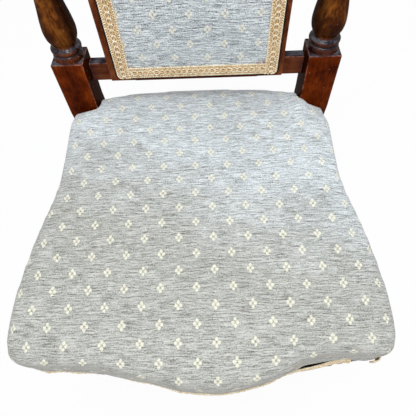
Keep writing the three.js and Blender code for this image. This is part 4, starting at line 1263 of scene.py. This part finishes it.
def hem_line(node):
    """The places round a packed seat gimp's lower edge, in order round it."""
    bm = whole_faces(node)
    lowest = min(vert.co.z for vert in bm.verts)
    ring = [edge for edge in bm.edges if all(abs(v.co.z - lowest) < SAME_PLACE for v in edge.verts)]
    start = ring[0].verts[0]
    line = [start]
    edge = ring[0]
    here = edge.other_vert(start)
    while here is not start:
        line.append(here)
        edge = next(e for e in here.link_edges if e in ring and e is not edge)
        here = edge.other_vert(here)
    points = [vert.co.copy() for vert in line]
    bm.free()
    return points


def outer_line(points):
    """The outer of the two long sides of a gimp's outline, without its two ends."""
    count = len(points)
    corners = []
    for i, point in enumerate(points):
        into = (point - points[i - 1]).normalized()
        out = (points[(i + 1) % count] - point).normalized()
        if into.dot(out) < 0.5:
            corners.append(i)
    runs = []
    for start, end in zip(corners, corners[1:] + [corners[0] + count]):
        runs.append([points[i % count] for i in range(start, end + 1)])
    long_runs = sorted(runs, key=len)[-2:]
    return max(long_runs, key=lambda run: sum(point.length for point in run) / len(run))


def loose(point):
    """How far a place on the front gimp has come away from the rail, from 0 to 1."""
    x = point.x / MM
    if point.y > 0 or x > TORN_FROM + 3:
        return 0
    return smooth_step(x, LOOSE_FROM, LOOSE_BY) * (1 - HELD_AGAIN_SHARE * smooth_step(x, *HELD_AGAIN_X))


def leaning(point):
    """How far the loose gimp leans out at its foot, from 0 to 1."""
    x = point.x / MM
    return smooth_step(x, LOOSE_FROM, LEANING_BY) if loose(point) > 0 else 0


def closer(points, gap):
    """The same line with points no farther apart than the gap."""
    dense = [points[0]]
    for start, end in zip(points, points[1:]):
        count = int((end - start).length / gap) + 1
        dense += [start.lerp(end, (i + 1) / count) for i in range(count)]
    return dense


def seat_braid(node):
    line = closer(outer_line(hem_line(node)), HEM_STEP * MM)
    if line[0].x > line[-1].x:
        line.reverse()
    runs = [[]]
    shadow_strip = []
    for point in line:
        x, y = point.x / MM, point.y / MM
        if y < TORN_BEFORE_Y and TORN_FROM < x < TORN_TO:
            if runs[-1]:
                runs.append([])
            continue
        away = Vector((point.x, point.y, 0)).normalized()
        corner = smooth_step(x, *CORNER_X) * smooth_step(-y, *CORNER_Y)
        hidden = smooth_step(-x, *HIDDEN_X) * smooth_step(-y, *HIDDEN_Y)
        flat = Vector((point.x, point.y, 0))
        wall = flat - Vector((0, drifted(x, y), 0)) * MM
        place = wall.lerp(flat, loose(point))
        height = Vector((0, 0, (COVER_BOTTOM + GIMP_WIDTH / 2 - 1.0 * loose(point)) * MM))
        stand = CORNER_STAND * corner - HELD_BACK - HIDDEN_BACK * hidden - 0.6 * loose(point)
        runs[-1].append(place + away * stand * MM + height)
        # Where the gimp has come away, a dark strip from the cover's wall to the braid is painted shade in
        # the gap behind it.
        if loose(point) > 0:
            shadow_strip.append((wall + height - away * 4 * MM, place + height + away * (stand - 0.2) * MM))
    braid = bmesh.new()

    def off_rail(place, ahead):
        out = Vector((ahead.y, -ahead.x, 0)).normalized()
        tilt = LOOSE_LEAN * leaning(place)
        return out * cos(tilt) + Vector((0, 0, 1)) * sin(tilt)

    for run in runs:
        if len(run) > 1:
            braided(braid, run, off_rail)
    if shadow_strip:
        tape(braid, shadow_strip, SHADOW)
    piece(node, braid, BRAID_FINISHES, "gimp_braid", node)


seat_braid("seat_gimp")
seat_braid("rear_seat_gimp")


# The hidden inside: beech rails and corner blocks, steel screws and springs, jute webbing, hessian and hair.
# They get plain finishes of their own. The covers stand for the hair, three rails are reshaped below, and
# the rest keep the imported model's shapes.
def beech_finish():
    finish = Finish("beech", Specular_IOR_Level=0.3)
    grain = finish.grained(finish.mapped(finish.place(), scale=(9, 190, 190)), 1.0, 4.0, 0.6)
    finish.colour(finish.ramp(grain, (0.35, paint(150, 110, 70)), (0.6, paint(196, 156, 108))))
    finish.roughness(0.6 + grain * 0.2)
    finish.relief(grain, 0.2 * MM)
    return finish.material


def steel_finish():
    finish = Finish("steel", Metallic=1.0)
    rub = finish.grained(finish.place(), 300.0, 3.0)
    finish.colour(finish.ramp(rub, (0.3, paint(120, 120, 122)), (0.7, paint(176, 176, 178))))
    finish.roughness(0.3 + rub * 0.25)
    return finish.material


def woven_finish(name, dark, light, pitch):
    """A plain coarse weave of the given pitch in metres."""
    finish = Finish(name, Specular_IOR_Level=0.1)
    place = finish.place()
    turns = 2 * pi / pitch
    x = (finish.component(place, "X") * turns).sine()
    y = (finish.component(place, "Y") * turns).sine()
    yarn = finish.grained(place, 900.0, 2.0)
    weave = x * y * 0.25 + 0.4 + yarn * 0.2
    finish.colour(finish.ramp(weave, (0.25, paint(*dark)), (0.75, paint(*light))))
    finish.roughness(0.9)
    finish.relief(weave, 0.4 * MM)
    return finish.material


def hair_finish():
    finish = Finish("curled_hair", Specular_IOR_Level=0.1)
    curl = finish.grained(finish.place(), 420.0, 4.0, 0.7)
    finish.colour(finish.ramp(curl, (0.35, paint(44, 32, 22)), (0.65, paint(96, 74, 52))))
    finish.roughness(0.95)
    finish.relief(curl, 1.5 * MM)
    return finish.material


inner_finishes = {
    "beech": beech_finish(),
    "steel": steel_finish(),
    "jute_web": woven_finish("jute_web", (128, 98, 56), (192, 160, 108), 2.4 * MM),
    "hessian": woven_finish("hessian", (116, 90, 54), (178, 148, 102), 1.6 * MM),
    "black_cloth": woven_finish("black_cloth", (18, 17, 17), (44, 42, 42), 1.2 * MM),
    "stuffing": hair_finish(),
}
for entry in frame["record"]["subparts"]:
    finish = inner_finishes.get(entry["material_slot"])
    if finish:
        data = frame["nodes"][entry["node"]].data
        data.materials.clear()
        data.materials.append(finish)


# The front and side seat rails. Their outer top arris is rasped off, so that it doesn't wear the cloth, and
# the front one is cut back where the cloth is pulled in over it.
RASPED = 9
RAIL_TOP = 424
SLICE = 10
SLICES = 18


def rasped_rail(node, outward):
    rail = whole_faces(node)
    if outward.y < 0:
        for i in range(-SLICES, SLICES + 1):
            sliced(rail, (i * SLICE * MM, 0, 0), (1, 0, 0))
        cut_back(rail)
    rail.normal_update()
    arris = [
        edge for edge in rail.edges
        if all(vert.co.z > (RAIL_TOP - 0.3) * MM for vert in edge.verts)
        and any(face.normal.dot(outward) > 0.8 for face in edge.link_faces)
    ]
    rounded_off(rail, arris, RASPED * MM, 3)
    smooth_below(rail, radians(35))
    piece(node, rail, [inner_finishes["beech"]], "beech", node)


rasped_rail("front_seat_rail", Vector((0, -1, 0)))
rasped_rail("side_seat_rail_left", Vector((-1, 0, 0)))
rasped_rail("side_seat_rail_right", Vector((1, 0, 0)))


# The white studio: a floor and a sky that the camera and polished wood see as white. Three soft windows
# light the chair: one in front, one above it and a cool one high behind it.
def seen_directly(tree):
    """A socket that is 1 for what the camera sees by itself, in a polished face or through glass."""
    rays = tree.nodes.new("ShaderNodeLightPath")
    seen = rays.outputs["Is Camera Ray"]
    for kind in ("Is Glossy Ray", "Is Transmission Ray"):
        either = tree.nodes.new("ShaderNodeMath")
        either.operation = 'MAXIMUM'
        tree.links.new(seen, either.inputs[0])
        tree.links.new(rays.outputs[kind], either.inputs[1])
        seen = either.outputs[0]
    return seen


def whitened(finish_name, colour, share):
    """A matt colour that the camera sees as white to the given share."""
    material = bpy.data.materials.new(finish_name)
    material.use_nodes = True
    tree = material.node_tree
    matt = tree.nodes["Principled BSDF"]
    matt.inputs["Base Color"].default_value = colour
    matt.inputs["Roughness"].default_value = 1.0
    matt.inputs["Specular IOR Level"].default_value = 0.0
    glow = tree.nodes.new("ShaderNodeEmission")
    part = tree.nodes.new("ShaderNodeMath")
    part.operation = 'MULTIPLY'
    part.inputs[1].default_value = share
    tree.links.new(seen_directly(tree), part.inputs[0])
    blend = tree.nodes.new("ShaderNodeMixShader")
    tree.links.new(part.outputs[0], blend.inputs[0])
    tree.links.new(matt.outputs[0], blend.inputs[1])
    tree.links.new(glow.outputs[0], blend.inputs[2])
    tree.links.new(blend.outputs[0], tree.nodes["Material Output"].inputs["Surface"])
    return material


floor_shape = bmesh.new()
bmesh.ops.create_grid(floor_shape, x_segments=1, y_segments=1, size=6)
floor_mesh = bpy.data.meshes.new("floor")
floor_shape.to_mesh(floor_mesh)
floor_shape.free()
floor_mesh.materials.append(whitened("floor_white", (0.9, 0.9, 0.9, 1), 0.94))
floor = bpy.data.objects.new("floor", floor_mesh)
bpy.context.scene.collection.objects.link(floor)

world = bpy.data.worlds.new("sky")
world.use_nodes = True
bpy.context.scene.world = world
sky_tree = world.node_tree
sky = sky_tree.nodes["Background"]
sky.inputs["Color"].default_value = (1, 1, 1, 1)
sky.inputs["Strength"].default_value = 0.5
seen_sky = sky_tree.nodes.new("ShaderNodeBackground")
seen_sky.inputs["Color"].default_value = (1, 1, 1, 1)
seen_sky.inputs["Strength"].default_value = 1.0
sky_blend = sky_tree.nodes.new("ShaderNodeMixShader")
sky_tree.links.new(seen_directly(sky_tree), sky_blend.inputs[0])
sky_tree.links.new(sky.outputs[0], sky_blend.inputs[1])
sky_tree.links.new(seen_sky.outputs[0], sky_blend.inputs[2])
sky_tree.links.new(sky_blend.outputs[0], sky_tree.nodes["World Output"].inputs["Surface"])


def window(name, place, aim, side, power, colour):
    """A large soft light at a place, turned towards what it lights."""
    light = bpy.data.lights.new(name, 'AREA')
    light.shape = 'SQUARE'
    light.size = side
    light.energy = power
    light.color = colour
    made = bpy.data.objects.new(name, light)
    made.location = place
    made.rotation_euler = (Vector(aim) - Vector(place)).to_track_quat('-Z', 'Y').to_euler()
    bpy.context.scene.collection.objects.link(made)


window("window_front", (0.1, -0.7, 2.1), (0, 0, 0.45), 0.7, 11, (1.0, 0.985, 0.965))
window("window_above", (-0.1, -0.1, 1.75), (0, 0.05, 0.45), 0.34, 7.5, (0.9, 0.95, 1.0))
window("window_high", (0.5, 1.3, 2.7), (0, 0.1, 0.45), 0.8, 10, (0.8, 0.9, 1.0))
